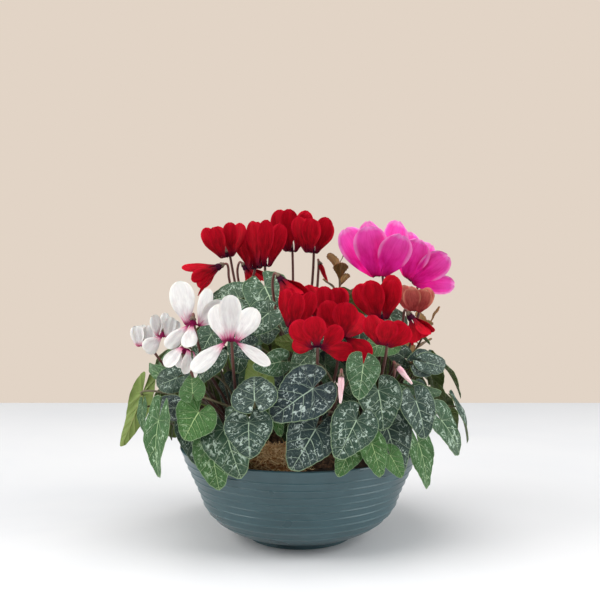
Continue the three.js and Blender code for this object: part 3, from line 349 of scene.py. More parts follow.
# Name, foot in the soil, top of the stalk, leaf length
SPRIGS = [
    ("left", (50, 26), (46, 30, 306), 25),
    ("right", (98, 42), (152, 26, 236), 23),
]

# Small maths


def draw(seed):
    """A number from 0 to 1, always the same one for a seed."""
    value = math.sin(seed * 12.9898 + 4.1414) * 43758.5453
    return value - math.floor(value)


def sway(seed):
    """A number from -0.5 to 0.5."""
    return draw(seed) - 0.5


def phase(seed):
    """A place along a wave."""
    return 6.28 * draw(seed)


def unit(v):
    return v / np.linalg.norm(v)


def vec(*values):
    return np.array(values, float)


def without(v, axis):
    """v without its part along a unit axis."""
    return v - axis * float(np.dot(v, axis))


def left_of(v):
    """The level direction a quarter turn round from v, seen from above."""
    return vec(-v[1], v[0], 0)


def level(bearing):
    return vec(math.cos(bearing), math.sin(bearing), 0)


def stacked(*fields):
    """One array whose last axis holds the fields side by side."""
    return np.stack(np.broadcast_arrays(*fields), axis=-1)


def turn_about(v, axis, angle):
    cos, sin = math.cos(angle), math.sin(angle)
    return v * cos + np.cross(axis, v) * sin + axis * float(np.dot(axis, v)) * (1 - cos)


def smooth(low, high, x):
    t = np.clip((x - low) / (high - low), 0, 1)
    return t * t * (3 - 2 * t)


def radius_at(line, height):
    return float(np.interp(height, [z for _, z in line], [r for r, _ in line]))


class CubicBezier:
    def __init__(self, *points):
        self.points = points

    def at(self, t):
        a, b, c, d = self.points
        s = 1 - t
        return s**3 * a + 3 * s * s * t * b + 3 * s * t * t * c + t**3 * d


def cubic(p, q, at_p, at_q, w):
    """The cubic from p to q with these slopes at its ends."""
    return p + at_p * w + (3 * (q - p) - 2 * at_p - at_q) * w * w + (2 * (p - q) + at_p + at_q) * w**3


class CatmullRom:
    """A centripetal Catmull-Rom curve through its points."""

    def __init__(self, points):
        self.points = [np.array(p, float) for p in points]

    def at(self, t):
        points = self.points
        last = len(points) - 1
        k = min(last - 1, int(math.floor(last * t)))
        w = last * t - k
        p1, p2 = points[k], points[k + 1]
        p0 = points[k - 1] if k > 0 else 2 * p1 - p2
        p3 = points[k + 2] if k + 2 <= last else 2 * p2 - p1
        d0, d1, d2 = (math.sqrt(np.linalg.norm(b - a)) for a, b in ((p0, p1), (p1, p2), (p2, p3)))
        t1 = ((p1 - p0) / d0 - (p2 - p0) / (d0 + d1) + (p2 - p1) / d1) * d1
        t2 = ((p2 - p1) / d1 - (p3 - p1) / (d1 + d2) + (p3 - p2) / d2) * d1
        return cubic(p1, p2, t1, t2, w)


def smooth_wall():
    """The pot's outer wall as a line of (radius, height)."""
    points = [vec(*p) for p in WALL_OUTLINE]
    last = len(points) - 1
    line = []
    for step in range(WALL_STEPS + 1):
        place = last * step / WALL_STEPS
        k = min(last - 1, int(place))
        w = place - k
        p0, p1 = points[max(0, k - 1)], points[k]
        p2, p3 = points[k + 1], points[min(last, k + 2)]
        line.append(tuple(cubic(p1, p2, (p2 - p0) / 2, (p3 - p1) / 2, w)))
    return line


WALL_LINE = smooth_wall()

# Meshes


class Shape:
    """Points in millimetres, faces and named point attributes, gathered part by part."""

    def __init__(self):
        self.points = []
        self.faces = []
        self.fields = {}
        self.count = 0

    def add(self, points, faces, **fields):
        """Faces are lists of point numbers; a field is one value or row, for each point or all."""
        points = np.asarray(points, float).reshape(-1, 3)
        self.points.append(points)
        self.faces.extend([[k + self.count for k in face] for face in faces])
        for name, values in fields.items():
            values = np.asarray(values, float)
            if values.ndim == 0:
                values = np.full(len(points), values)
            elif values.ndim == 1 and len(values) != len(points):
                values = np.tile(values, (len(points), 1))
            self.fields.setdefault(name, []).append(values)
        self.count += len(points)

    def piece(self, name, material, slot, *nodes, sharp=50):
        mesh = bpy.data.meshes.new(name)
        mesh.from_pydata((np.concatenate(self.points) * MM).tolist(), [], self.faces)
        for field, parts in self.fields.items():
            values = np.concatenate(parts)
            if values.ndim == 1:
                attribute = mesh.attributes.new(field, "FLOAT", "POINT")
                attribute.data.foreach_set("value", values.astype(np.float32))
            else:
                attribute = mesh.attributes.new(field, "FLOAT_VECTOR", "POINT")
                attribute.data.foreach_set("vector", values.astype(np.float32).ravel())
        mesh.polygons.foreach_set("use_smooth", np.ones(len(mesh.polygons), bool))
        mesh.set_sharp_from_angle(angle=math.radians(sharp))
        mesh.materials.append(material)
        mesh.update()
        obj = bpy.data.objects.new(name, mesh)
        bpy.context.scene.collection.objects.link(obj)
        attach(obj, "root")
        if nodes:
            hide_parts(*nodes)


def grid_faces(rows, columns, wrap=False, flip=False, start=0):
    """Quads of a grid of points stored row by row."""
    faces = []
    span = columns if wrap else columns - 1
    for row in range(rows - 1):
        for column in range(span):
            after = (column + 1) % columns
            a, b = start + row * columns + column, start + row * columns + after
            face = [a, b, b + columns, a + columns]
            faces.append(face[::-1] if flip else face)
    return faces


def lathe(profile, sides):
    """A closed turned body; the profile starts and ends on the axis."""
    angles = 2 * np.pi * np.arange(sides) / sides
    rings = profile[1:-1]
    points = [vec(r * math.cos(a), r * math.sin(a), z) for r, z in rings for a in angles]
    faces = grid_faces(len(rings), sides, wrap=True)
    bottom, top = len(points), len(points) + 1
    points += [vec(0, 0, profile[0][1]), vec(0, 0, profile[-1][1])]
    last = (len(rings) - 1) * sides
    for k in range(sides):
        after = (k + 1) % sides
        faces.append([bottom, after, k])
        faces.append([top, last + k, last + after])
    return np.array(points), faces


def sweep(points, radii, sides):
    """A closed round body along a line of points: its points, faces and share along the line."""
    points = np.asarray(points, float)
    count = len(points)
    tangents = np.gradient(points, axis=0)
    tangents /= np.linalg.norm(tangents, axis=1)[:, None]
    side = vec(1, 0, 0) if abs(tangents[0][0]) < 0.8 else vec(0, 1, 0)
    made = []
    angles = 2 * np.pi * np.arange(sides) / sides
    for k in range(count):
        side = unit(without(side, tangents[k]))
        front = np.cross(tangents[k], side)
        ring = np.outer(np.cos(angles), side) + np.outer(np.sin(angles), front)
        made.append(points[k] + radii[k] * ring)
    faces = grid_faces(count, sides, wrap=True)
    faces.append(list(range(sides))[::-1])
    faces.append([(count - 1) * sides + k for k in range(sides)])
    share = np.repeat(np.linspace(0, 1, count), sides)
    return np.concatenate(made), faces, share


def shell(grid, normals, half, centre=None):
    """A thin closed body from a grid of points (rows, columns, 3), thickened both ways.

    With a centre, the first row closes to that single point. Returns points, faces and a
    function that spreads a grid of values over the body's points.
    """
    rows, columns = grid.shape[:2]
    offset = normals * half[..., None]
    upper = (grid + offset).reshape(-1, 3)
    lower = (grid - offset).reshape(-1, 3)
    size = rows * columns
    faces = grid_faces(rows, columns)
    faces += grid_faces(rows, columns, flip=True, start=size)
    points = [upper, lower]
    last = (rows - 1) * columns
    for k in range(columns - 1):
        faces.append([last + k, last + k + 1, size + last + k + 1, size + last + k])
    for row in range(rows - 1):
        a, b = row * columns, (row + 1) * columns
        faces.append([a, b, size + b, size + a])
        a, b = a + columns - 1, b + columns - 1
        faces.append([b, a, size + a, size + b])
    if centre is None:
        for k in range(columns - 1):
            faces.append([k + 1, k, size + k, size + k + 1])
    else:
        middle, direction, reach = centre
        points += [[middle + direction * reach], [middle - direction * reach]]
        top, under = 2 * size, 2 * size + 1
        for k in range(columns - 1):
            faces.append([k, k + 1, top])
            faces.append([size + k + 1, size + k, under])
        faces.append([top, 0, size, under])
        faces.append([top, under, size + columns - 1, columns - 1])

    def spread(values, middle_value=None):
        flat = values.reshape(size, -1)
        parts = [flat, flat]
        if centre is not None:
            parts += [np.reshape(middle_value, (1, -1))] * 2
        out = np.concatenate(parts)
        return out[:, 0] if out.shape[1] == 1 else out

    return np.concatenate([np.asarray(p, float) for p in points]), faces, spread


# Node materials


def srgb(red, green, blue):
    """A linear colour from an 8-bit display colour."""
    return [
        c / 12.92 if c <= 0.04045 else ((c + 0.055) / 1.055) ** 2.4
        for c in (red / 255, green / 255, blue / 255)
    ]


class Wire:
    """An output of a node; arithmetic on it adds Math nodes to its graph."""

    def __init__(self, graph, socket):
        self.graph, self.socket = graph, socket

    def __add__(self, other):
        return self.graph.math("ADD", self, other)

    def __sub__(self, other):
        return self.graph.math("SUBTRACT", self, other)

    def __rsub__(self, other):
        return self.graph.math("SUBTRACT", other, self)

    def __mul__(self, other):
        return self.graph.math("MULTIPLY", self, other)

    def __truediv__(self, other):
        return self.graph.math("DIVIDE", self, other)

    def __abs__(self):
        return self.graph.math("ABSOLUTE", self)


class Graph:
    """A material's node tree, with a short call for each kind of node that is used here."""

    def __init__(self, name):
        self.material = bpy.data.materials.new(name)
        self.material.use_nodes = True
        self.tree = self.material.node_tree
        self.tree.nodes.clear()

    def feed(self, socket, value):
        if isinstance(value, Wire):
            self.tree.links.new(value.socket, socket)
        elif hasattr(value, "__len__"):
            room = len(socket.default_value)
            socket.default_value = (list(value) + [1.0] * 4)[:room]
        else:
            socket.default_value = value

    def node(self, kind, inputs, output=0, **settings):
        made = self.tree.nodes.new("ShaderNode" + kind)
        for key, value in settings.items():
            setattr(made, key, value)
        for key, value in inputs.items():
            self.feed(made.inputs[key], value)
        return Wire(self, made.outputs[output]) if made.outputs else None

    def math(self, operation, *values):
        return self.node("Math", dict(enumerate(values)), operation=operation)

    def larger(self, a, b):
        return self.math("MAXIMUM", a, b)

    def step(self, value, low, high, start=0.0, end=1.0):
        """start below low, end above high, and a smooth change between them."""
        inputs = {0: value, 1: low, 2: high, 3: start, 4: end}
        return self.node("MapRange", inputs, interpolation_type="SMOOTHSTEP")

    def mix(self, share, a, b):
        """A blend of two colours, each a wire or an 8-bit display colour."""
        a, b = (srgb(*colour) if isinstance(colour, tuple) else colour for colour in (a, b))
        return self.node("Mix", {0: share, 6: a, 7: b}, 2, data_type="RGBA")

    def value(self, name):
        return self.node("Attribute", {}, "Fac", attribute_name=name)

    def field(self, name):
        """The three numbers of a point attribute."""
        vector = self.node("Attribute", {}, "Vector", attribute_name=name)
        split = self.node("SeparateXYZ", {0: vector}).socket.node
        return [Wire(self, output) for output in split.outputs]

    def join(self, x, y, z):
        return self.node("CombineXYZ", {0: x, 1: y, 2: z})

    def place(self):
        return self.node("TexCoord", {}, "Object")

    def scaled(self, vector, x, y, z):
        return self.node("VectorMath", {0: vector, 1: (x, y, z)}, operation="MULTIPLY")

    def noise(self, vector, scale, detail=3.0, rough=0.55, warp=0.0):
        return self.node("TexNoise", {
            "Vector": vector, "Scale": scale, "Detail": detail, "Roughness": rough,
            "Distortion": warp,
        })

    def cells(self, vector, scale, feature="F1"):
        inputs = {"Vector": vector, "Scale": scale}
        return self.node("TexVoronoi", inputs, "Distance", feature=feature)

    def bump(self, height, distance, strength):
        return self.node("Bump", {"Height": height, "Distance": distance, "Strength": strength})

    def finish(self, **inputs):
        names = {key.replace("_", " "): value for key, value in inputs.items()}
        self.node("OutputMaterial", {"Surface": self.node("BsdfPrincipled", names)})
        return self.material


def pot_material():
    g = Graph("pot_plastic")
    place = g.place()
    cloud = g.noise(place, 14, 3)
    speck = g.noise(place, 900, 2)
    streak = g.noise(g.scaled(place, 40, 40, 700), 1.0, 2)
    tone = g.step(cloud * 0.7 + streak * 0.3, 0.35, 0.65)
    colour = g.mix(tone, (41, 69, 75), (50, 81, 88))
    dust = g.step(g.noise(place, 60, 4, 0.7), 0.52, 0.8, 0, 0.22)
    colour = g.mix(dust, colour, (90, 116, 120))
    # Painted highlight: the upper side of each rib is lightened, broken up by noise, where light from
    # above catches it
    rib_highlight = g.value("rib") * g.step(g.noise(place, 35, 3), 0.3, 0.6, 0.5, 0.9)
    colour = g.mix(rib_highlight * 0.3, colour, (108, 134, 138))
    rough = g.step(cloud, 0.3, 0.7, 0.26, 0.37)
    normal = g.bump(speck * 0.5 + streak * 0.5, 0.0002, 0.25)
    return g.finish(Base_Color=colour, Roughness=rough, Normal=normal)


def soil_material():
    g = Graph("soil_peat")
    place = g.place()
    grain = g.cells(place, 520)
    clump = g.noise(place, 90, 5, 0.65)
    colour = g.mix(g.step(clump, 0.35, 0.65), (30, 22, 17), (72, 54, 40))
    chip = g.step(g.cells(place, 240), 0.0, 0.12, 1, 0)
    colour = g.mix(chip * 0.7, colour, (120, 92, 62))
    normal = g.bump(clump + grain * 0.6, 0.0015, 0.9)
    return g.finish(Base_Color=colour, Roughness=0.95, Normal=normal)


def coir_material():
    g = Graph("coir_fibre")
    place = g.place()
    along = g.noise(place, 300, 4, 0.7)
    colour = g.mix(g.value("tint") * 0.8 + 0.2, (176, 118, 66), (255, 226, 174))
    colour = g.mix(g.step(along, 0.35, 0.7, 0, 0.3), colour, (96, 62, 36))
    normal = g.bump(g.noise(place, 1400, 2), 0.0002, 0.6)
    return g.finish(Base_Color=colour, Roughness=0.85, Normal=normal)


def corm_material():
    g = Graph("corm_bark")
    place = g.place()
    bark = g.noise(g.scaled(place, 1, 1, 2.4), 160, 5, 0.65, 0.6)
    colour = g.mix(g.step(bark, 0.35, 0.65), (58, 38, 26), (134, 100, 72))
    crack = g.step(g.cells(place, 130, "DISTANCE_TO_EDGE"), 0.0, 0.08, 1, 0)
    colour = g.mix(crack * 0.6, colour, (40, 26, 20))
    normal = g.bump(bark - crack * 0.4, 0.0012, 0.8)
    return g.finish(Base_Color=colour, Roughness=0.88, Normal=normal)


# Veins of a blade, in blade lengths before its width is scaled: side veins leave the midrib
# every VEIN_STEP and bend forward, and the lobes behind them have veins that fan out
VEIN_STEP = 0.23
VEIN_LEAN = 0.55
VEIN_BEND = 0.55
VEIN_SLOPE = 0.85
LOBE_BEARING = math.atan2(1, VEIN_LEAN)
LOBE_STEP = math.radians(34)


def vein_distance(u, v):
    """Distance of a place on the blade from its nearest vein, all in blade lengths."""
    side = np.abs(v)
    start = u - VEIN_LEAN * side - VEIN_BEND * side**2
    pinnate = VEIN_SLOPE * np.abs((start + VEIN_STEP / 2) % VEIN_STEP - VEIN_STEP / 2)
    bearing = np.arctan2(side, u) - LOBE_BEARING
    fan = np.abs((bearing + LOBE_STEP / 2) % LOBE_STEP - LOBE_STEP / 2) * np.hypot(u, v)
    return np.minimum(side + np.maximum(0, -u), np.where(start > 0, pinnate, fan))


def blade_veins(g, u, v, margin, wander):
    """How much of the midrib and of the side veins is at a place, and how far off they are.

    It follows vein_distance, with a little wander, and the veins grow thinner outwards.
    """
    side = abs(v + wander * 0.03)
    start = u - (side * VEIN_LEAN + side * side * VEIN_BEND) + wander * 0.09
    pinnate = g.math("PINGPONG", start, VEIN_STEP / 2) * VEIN_SLOPE
    bearing = g.math("ARCTAN2", side, u) - (LOBE_BEARING - LOBE_STEP)
    fan = g.math("PINGPONG", bearing + wander * 0.3, LOBE_STEP / 2)
    fan = fan * g.math("SQRT", u * u + v * v)
    ahead = g.math("GREATER_THAN", start, 0.0)
    off_side = pinnate * ahead + fan * (1.0 - ahead)
    off_mid = side + g.larger(0.0, u * -1.0)
    mid = g.step(off_mid / g.step(margin, 0.0, 1.0, 0.016, 0.006), 0.6, 1.2, 1, 0)
    vein = g.step(off_side / g.step(margin, 0.0, 1.0, 0.0105, 0.005), 0.5, 1.2, 1, 0)
    lines = g.larger(mid * 0.85, vein * (ahead * 0.42 + 0.24))
    return lines, side, g.math("MINIMUM", off_side, off_mid)


def blade_silver(g, own, margin, silver):
    """Curls, blotches and dots of silver in a ring between the middle and the margin."""
    ring = g.step(margin, 0.34, 0.56) * g.step(margin, 0.78, 0.95, 1, 0)
    zone = g.noise(own, 4.4, 2, 0.6, 0.4) + silver * 0.13
    zone = g.step(zone, 0.54, 0.6) * ring
    line = abs(g.noise(own, 7.2, 1.0, 0.5, 0.7) - 0.5)
    curl = g.step(line, 0.018, 0.042, 1, 0) * zone
    blotch = g.noise(own, 7.5, 1.5, 0.5, 0.5) + silver * 0.1
    blotch = g.step(blotch, 0.7, 0.73) * ring
    dot = g.step(g.cells(own, 15), 0.1, 0.24, 1, 0) * g.step(margin, 0.35, 0.6)
    dot = dot * g.step(g.noise(own, 6, 1), 0.53, 0.6)
    marbled = g.larger(g.larger(curl * 0.9, blotch), dot * 0.6)
    marbled = marbled * g.step(silver, 0.0, 0.5, 0.4, 0.88)
    return marbled * g.step(g.noise(own, 20, 1.5), 0.36, 0.54, 0.42, 0.96)


def leaf_material():
    """Marbled cyclamen blade.

    The point field "leaf" is (along, across, share of the way to the margin) in blade lengths,
    "look" is (green, silver, a number for the leaf), and "under" is 1 on the lower face.
    """
    g = Graph("cyclamen_blade")
    u, v, margin = g.field("leaf")
    green, silver, leaf = g.field("look")
    own = g.join(u + leaf * 7.3, v + leaf * 3.1, leaf)
    wander = g.noise(own, 5, 2) - 0.5
    lines, side, off_vein = blade_veins(g, u, v, margin, wander)
    marbled = blade_silver(g, own, margin, silver)

    branch = g.math("PINGPONG", u - side * 0.1 + wander * 0.5, 0.06)
    branch = g.step(branch, 0.002, 0.009, 1, 0) * g.step(g.noise(own, 8, 1), 0.46, 0.56)
    net = g.cells(g.join(u + wander * 0.3, v, leaf), 15, "DISTANCE_TO_EDGE")
    net = g.step(net, 0.0, 0.06, 1, 0) * g.step(margin, 0.2, 0.6)
    lines = g.larger(lines, g.larger(branch * 0.28, net * 0.12))

    cloud = g.noise(own, 3.2, 3)
    dark = g.mix(cloud, (18, 32, 37), (41, 60, 65))
    fresh = g.mix(cloud, (42, 88, 34), (76, 124, 58))
    colour = g.mix(green, dark, fresh)
    # Painted shade: the blade is darkened in the sunken grooves along its veins
    depth = g.step(off_vein, 0.0, 0.07, 1, 0) * 0.35
    colour = g.mix(depth, colour, g.mix(green, (15, 28, 27), (30, 66, 25)))
    colour = g.mix(marbled, colour, g.mix(green, (196, 212, 206), (172, 204, 156)))
    colour = g.mix(lines, colour, g.mix(green, (168, 190, 170), (176, 204, 136)))
    colour = g.mix(g.step(margin, 0.965, 0.995, 0, 0.75), colour, (142, 166, 128))

    reverse = g.mix(cloud, (92, 114, 52), (128, 148, 74))
    reverse = g.mix(lines * 0.6, reverse, (150, 128, 92))
    colour = g.mix(g.value("under"), colour, reverse)

    fine = g.noise(own, 90, 2)
    relief = g.step(off_vein, 0.0, 0.05) - branch * 0.3 - net * 0.25 + fine * 0.12
    return g.finish(
        Base_Color=colour, Roughness=g.step(fine, 0.3, 0.7, 0.42, 0.54) + marbled * 0.12,
        Normal=g.bump(relief, 0.0009, 0.6), Specular_IOR_Level=0.3,
    )


def stalk_material():
    """Field "run" is (share from foot to head, redness, a number for the stalk)."""
    g = Graph("cyclamen_stalk")
    along, redness, _ = g.field("run")
    place = g.place()
    cool = g.mix(along, (50, 32, 24), (96, 100, 60))
    red = g.mix(along, (70, 36, 28), (118, 60, 50))
    colour = g.mix(redness, cool, red)
    speckle = g.noise(g.scaled(place, 1, 1, 0.25), 900, 3, 0.7)
    colour = g.mix(g.step(speckle, 0.45, 0.7, 0, 0.45), colour, (70, 36, 32))
    normal = g.bump(g.noise(g.scaled(place, 1, 1, 0.1), 1600, 2), 0.0002, 0.4)
    return g.finish(Base_Color=colour, Roughness=0.5, Normal=normal, Sheen_Weight=0.15)


def petal_material(
    name, body, shade, top, edge, edge_share, claw, claw_length, eye, streaks, eye_length=0.085,
):
    """Field "petal" is (share from the mouth to the tip, -1 to 1 across, a number)."""
    g = Graph(name)
    t, across, own = g.field("petal")
    vein = g.noise(g.join(across * 6.0, t * 1.2, own), 2.6, 3, 0.6, 0.3)
    cloud = g.noise(g.join(across * 1.4, t * 2.2, own), 2.0, 3)
    colour = g.mix(g.step(cloud, 0.3, 0.7), shade, body)
    colour = g.mix(g.step(t, 0.35, 1.0, 0, 0.8), colour, top)
    colour = g.mix(g.step(vein, 0.42, 0.68, 0, streaks), colour, shade)
    rim = g.larger(g.step(abs(across), 0.6, 1.0) * g.step(t, 0.25, 0.6), g.step(t, 0.84, 1.0))
    ragged = rim + (vein - 0.5) * 0.6
    colour = g.mix(g.step(ragged, 0.25, 0.95, 0, edge_share), colour, edge)
    reach = t + (vein - 0.5) * (claw_length * 1.4)
    fade = g.step(reach, claw_length * 0.1, claw_length, 1, 0)
    colour = g.mix(fade * g.step(fade, 0.0, 0.6, 0.5, 1.0), colour, claw)
    colour = g.mix(g.step(t, 0.5 * eye_length, eye_length, 0.9, 0), colour, eye)
    fine = g.noise(g.join(across * 26, t * 5, own), 3, 2)
    return g.finish(
        Base_Color=colour, Roughness=0.7, Normal=g.bump(vein + fine * 0.3, 0.0005, 0.4),
        Specular_IOR_Level=0.1, Subsurface_Weight=0.12,
        Subsurface_Radius=(0.004, 0.0015, 0.001), Subsurface_Scale=0.6,
    )


def bronze_material():
    g = Graph("bronze_leaf")
    t, across, own = g.field("petal")
    wide = abs(across)
    cloud = g.noise(g.join(t, across, own), 3.5, 3)
    colour = g.mix(g.step(cloud, 0.3, 0.7), (108, 84, 36), (158, 112, 58))
    ribs = g.math("PINGPONG", t - wide * 0.5, 0.07)
    vein = g.larger(g.step(wide, 0.02, 0.09, 1, 0), g.step(ribs, 0.003, 0.014, 1, 0))
    colour = g.mix(vein * 0.5, colour, (176, 144, 88))
    colour = g.mix(g.step(wide, 0.8, 1.0, 0, 0.6), colour, (132, 58, 34))
    normal = g.bump(cloud - vein, 0.0008, 0.6)
    return g.finish(Base_Color=colour, Roughness=0.5, Normal=normal)


def floor_material():
    g = Graph("pale_floor")
    place = g.place()
    cloud = g.noise(place, 1.6, 4, 0.6, 0.6)
    colour = g.mix(g.step(cloud, 0.35, 0.75), (238, 238, 239), (231, 232, 235))
    normal = g.bump(g.noise(place, 200, 2), 0.0002, 0.1)
    return g.finish(Base_Color=colour, Roughness=0.5, Normal=normal)


PETALS = {
    "red": petal_material(
        "red_petal", body=(182, 0, 26), shade=(124, 0, 14), top=(194, 0, 32),
        edge=(206, 6, 46), edge_share=0.3, claw=(84, 0, 32), claw_length=0.42,
        eye=(50, 2, 34), streaks=0.5,
    ),
    "white": petal_material(
        "white_petal", body=(227, 224, 222), shade=(200, 195, 196), top=(232, 229, 226),
        edge=(236, 233, 226), edge_share=0.5, claw=(188, 14, 108), claw_length=0.42,
        eye=(96, 0, 48), streaks=0.4, eye_length=0.19,
    ),
    "pink": petal_material(
        "pink_petal", body=(247, 42, 172), shade=(228, 14, 138), top=(250, 92, 196),
        edge=(242, 150, 212), edge_share=0.65, claw=(204, 0, 104), claw_length=0.3,
        eye=(120, 2, 70), streaks=0.4,
    ),
    "salmon": petal_material(
        "salmon_petal", body=(190, 82, 78), shade=(150, 54, 54), top=(200, 106, 96),
        edge=(206, 142, 116), edge_share=0.6, claw=(150, 30, 44), claw_length=0.22,
        eye=(96, 20, 40), streaks=0.5,
    ),
    "blush": petal_material(
        "blush_petal", body=(242, 214, 216), shade=(222, 160, 176), top=(246, 228, 224),
        edge=(246, 226, 224), edge_share=0.5, claw=(196, 110, 136), claw_length=0.12,
        eye=(180, 96, 120), streaks=0.4,
    ),
}
LEAF = leaf_material()
STALK = stalk_material()
BRONZE = bronze_material()
COIR = coir_material()
CORM = corm_material()

# Leaves


def dome_share(height):
    rise = min(1, max(0, height - DOME_FOOT) / DOME_TALL)
    return (1 - rise**2.2) ** 0.909


def dome_front(across, height):
    share = dome_share(height) - (across / DOME_WIDE) ** 2
    return -DOME_DEEP * math.sqrt(max(0.01, share))


def dome_place(bearing, height, out):
    """The point of the dome at a bearing and a height, moved outwards."""
    reach = math.sqrt(dome_share(height))
    return vec(
        (DOME_WIDE * reach + out) * math.cos(bearing),
        (DOME_DEEP * reach + out) * math.sin(bearing),
        height,
    )


def dome_normal(p):
    rise = max(0, p[2] - DOME_FOOT) / DOME_TALL**2
    return unit(vec(p[0] / DOME_WIDE**2, p[1] / DOME_DEEP**2, rise))


class Leaf:
    def __init__(self, index, plant, root, tip, width, roll, to_front, green, silver):
        self.index, self.plant, self.root, self.goal = index, plant, root, root
        self.green, self.silver = green, silver
        self.shift = vec(0, 0, 0)
        self.length = float(np.linalg.norm(tip - root))
        self.stretch = width / OUTLINE_WIDTH / self.length
        self.along = (tip - root) / self.length
        face = dome_normal((root + tip) / 2) + VIEWER_SIDE * to_front
        face = unit(without(face, self.along))
        self.face = turn_about(face, self.along, math.radians(roll))
        self.side = np.cross(self.face, self.along)

    def plane(self, rho, angle):
        """Place along and across the blade for a share of the way to the margin and a bearing."""
        lobe = (np.abs(angle) / SINUS) ** 6
        tip = np.exp(-((angle / OUTLINE_TIP_SPREAD) ** 2))
        outline = OUTLINE_ROUND + OUTLINE_EGG * np.cos(angle) + OUTLINE_TIP * tip - OUTLINE_LOBE * lobe
        reach = self.length * rho * outline
        return reach * np.cos(angle), self.stretch * reach * np.sin(angle)

    def rise(self, rho, angle, u, v):
        rise = -BLADE_CUP * (u * u + v * v) / self.length + BLADE_FOLD * np.abs(v)
        wave = np.sin(4 * angle + phase(self.index + 300))
        rise = rise + BLADE_WAVE * self.length * rho**3 * wave
        return rise - np.where(u > 0, BLADE_DROOP * u * u / self.length, 0)

    def points(self, rho, angle, shift):
        rho, angle = np.broadcast_arrays(np.asarray(rho, float), np.asarray(angle, float))
        u, v = self.plane(rho, angle)
        return self.set_out(u, v, self.rise(rho, angle, u, v), shift)

    def samples(self):
        """Points spread over the blade, to keep other leaves clear of."""
        angles = np.linspace(-SINUS, SINUS, 31)
        return self.points(SAMPLE_SHARES[:, None], angles, self.shift).reshape(-1, 3)

    def set_out(self, u, v, rise, shift):
        return (
            self.root + shift + u[..., None] * self.along + v[..., None] * self.side
            + rise[..., None] * self.face
        )


def front_leaf(index, row):
    plant, root, tip, width, root_lift, tip_lift, roll, green, silver = row

    def place(spot, lift):
        return vec(spot[0], dome_front(*spot) - lift, spot[1])

    return Leaf(
        index, plant, place(root, root_lift), place(tip, tip_lift), width, roll, 1, green, silver,
    )


def back_leaf(index, row_index, k):
    plant, first, last, count, height, length = BACK_ROWS[row_index]
    seed = 40 * row_index + k
    share = k / (count - 1) if count > 1 else 0.5
    bearing = math.radians(first + (last - first) * share + 8 * sway(seed))
    root_height = height + 14 * sway(seed + 7)
    root = dome_place(bearing, root_height, -6)
    tip = dome_place(bearing, root_height - 0.8 * length, 6)
    tip[0] += 16 * sway(seed + 13)
    width = length * (1.05 + 0.2 * draw(seed + 19))
    green = 0.1 + 0.8 * draw(seed + 31) ** 2
    return Leaf(index, plant, root, tip, width, 0, 0, green, 0.35 + 0.6 * draw(seed + 37))


def all_leaves():
    leaves = [front_leaf(k, row) for k, row in enumerate(FRONT_LEAVES)]
    for row_index, row in enumerate(BACK_ROWS):
        for k in range(row[3]):
            leaves.append(back_leaf(len(leaves), row_index, k))
    return leaves


# Flowers


class Head:
    """Where a flower or bud sits: its mouth or tip, its axis towards the stalk, and its base."""

    def __init__(self, name, plant, colour, mouth, axis, to_stalk, base, neck):
        self.name, self.plant, self.colour, self.neck = name, plant, colour, neck
        self.mouth, self.goal, self.axis, self.base = mouth, mouth, axis, base
        self.to_stalk = unit(without(to_stalk, axis))
        self.across = np.cross(axis, self.to_stalk)

    def at(self, up, out=0.0):
        return self.mouth + self.axis * up + self.to_stalk * out


def flower_head(row):
    name, plant, colour, mouth, lean, bearing, stalk_bearing = row[:7]
    tilt, turn, away = (math.radians(a) for a in (lean, bearing, stalk_bearing))
    axis = level(turn) * math.sin(tilt) + vec(0, 0, math.cos(tilt))
    to_stalk = level(away) - vec(0, 0, 3 * math.sin(tilt))
    return Head(name, plant, colour, vec(*mouth), axis, to_stalk, TUBE_LENGTH, TUBE_TOP)


def bud_head(row):
    name, plant, colour, top, tip, stalk_bearing = row
    tip = vec(*tip)
    axis = vec(*top) - tip
    length = float(np.linalg.norm(axis))
    to_stalk = level(math.radians(stalk_bearing))
    return Head(name, plant, colour, tip, axis / length, to_stalk, length, 0.8 * BUD_RADIUS)


def petal_line(length, splay, way):
    """Distance out from the axis and height above the mouth along a petal's middle line."""
    start = math.radians(-35 if way > 0 else -60)
    end = math.radians(90 - splay) * way
    line = [PETAL_ROOT]
    for k in range(LINE_STEPS):
        bend = min(1, (k + 0.5) * length / LINE_STEPS / PETAL_BEND)
        angle = start + (end - start) * bend * bend * (3 - 2 * bend)
        out, up = line[-1]
        out += math.cos(angle) * length / LINE_STEPS
        up += math.sin(angle) * length / LINE_STEPS
        line.append((out, up))
    return np.array(line)


# How sharply a petal narrows towards its claw, and how much wider than its solid it is
CLAW_POWER = {"red": 2.5, "white": 2.1, "pink": 1.5, "salmon": 1.7}
PETAL_FULLNESS = {"red": 0.97, "white": 1.04, "pink": 1.12, "salmon": 1.08}


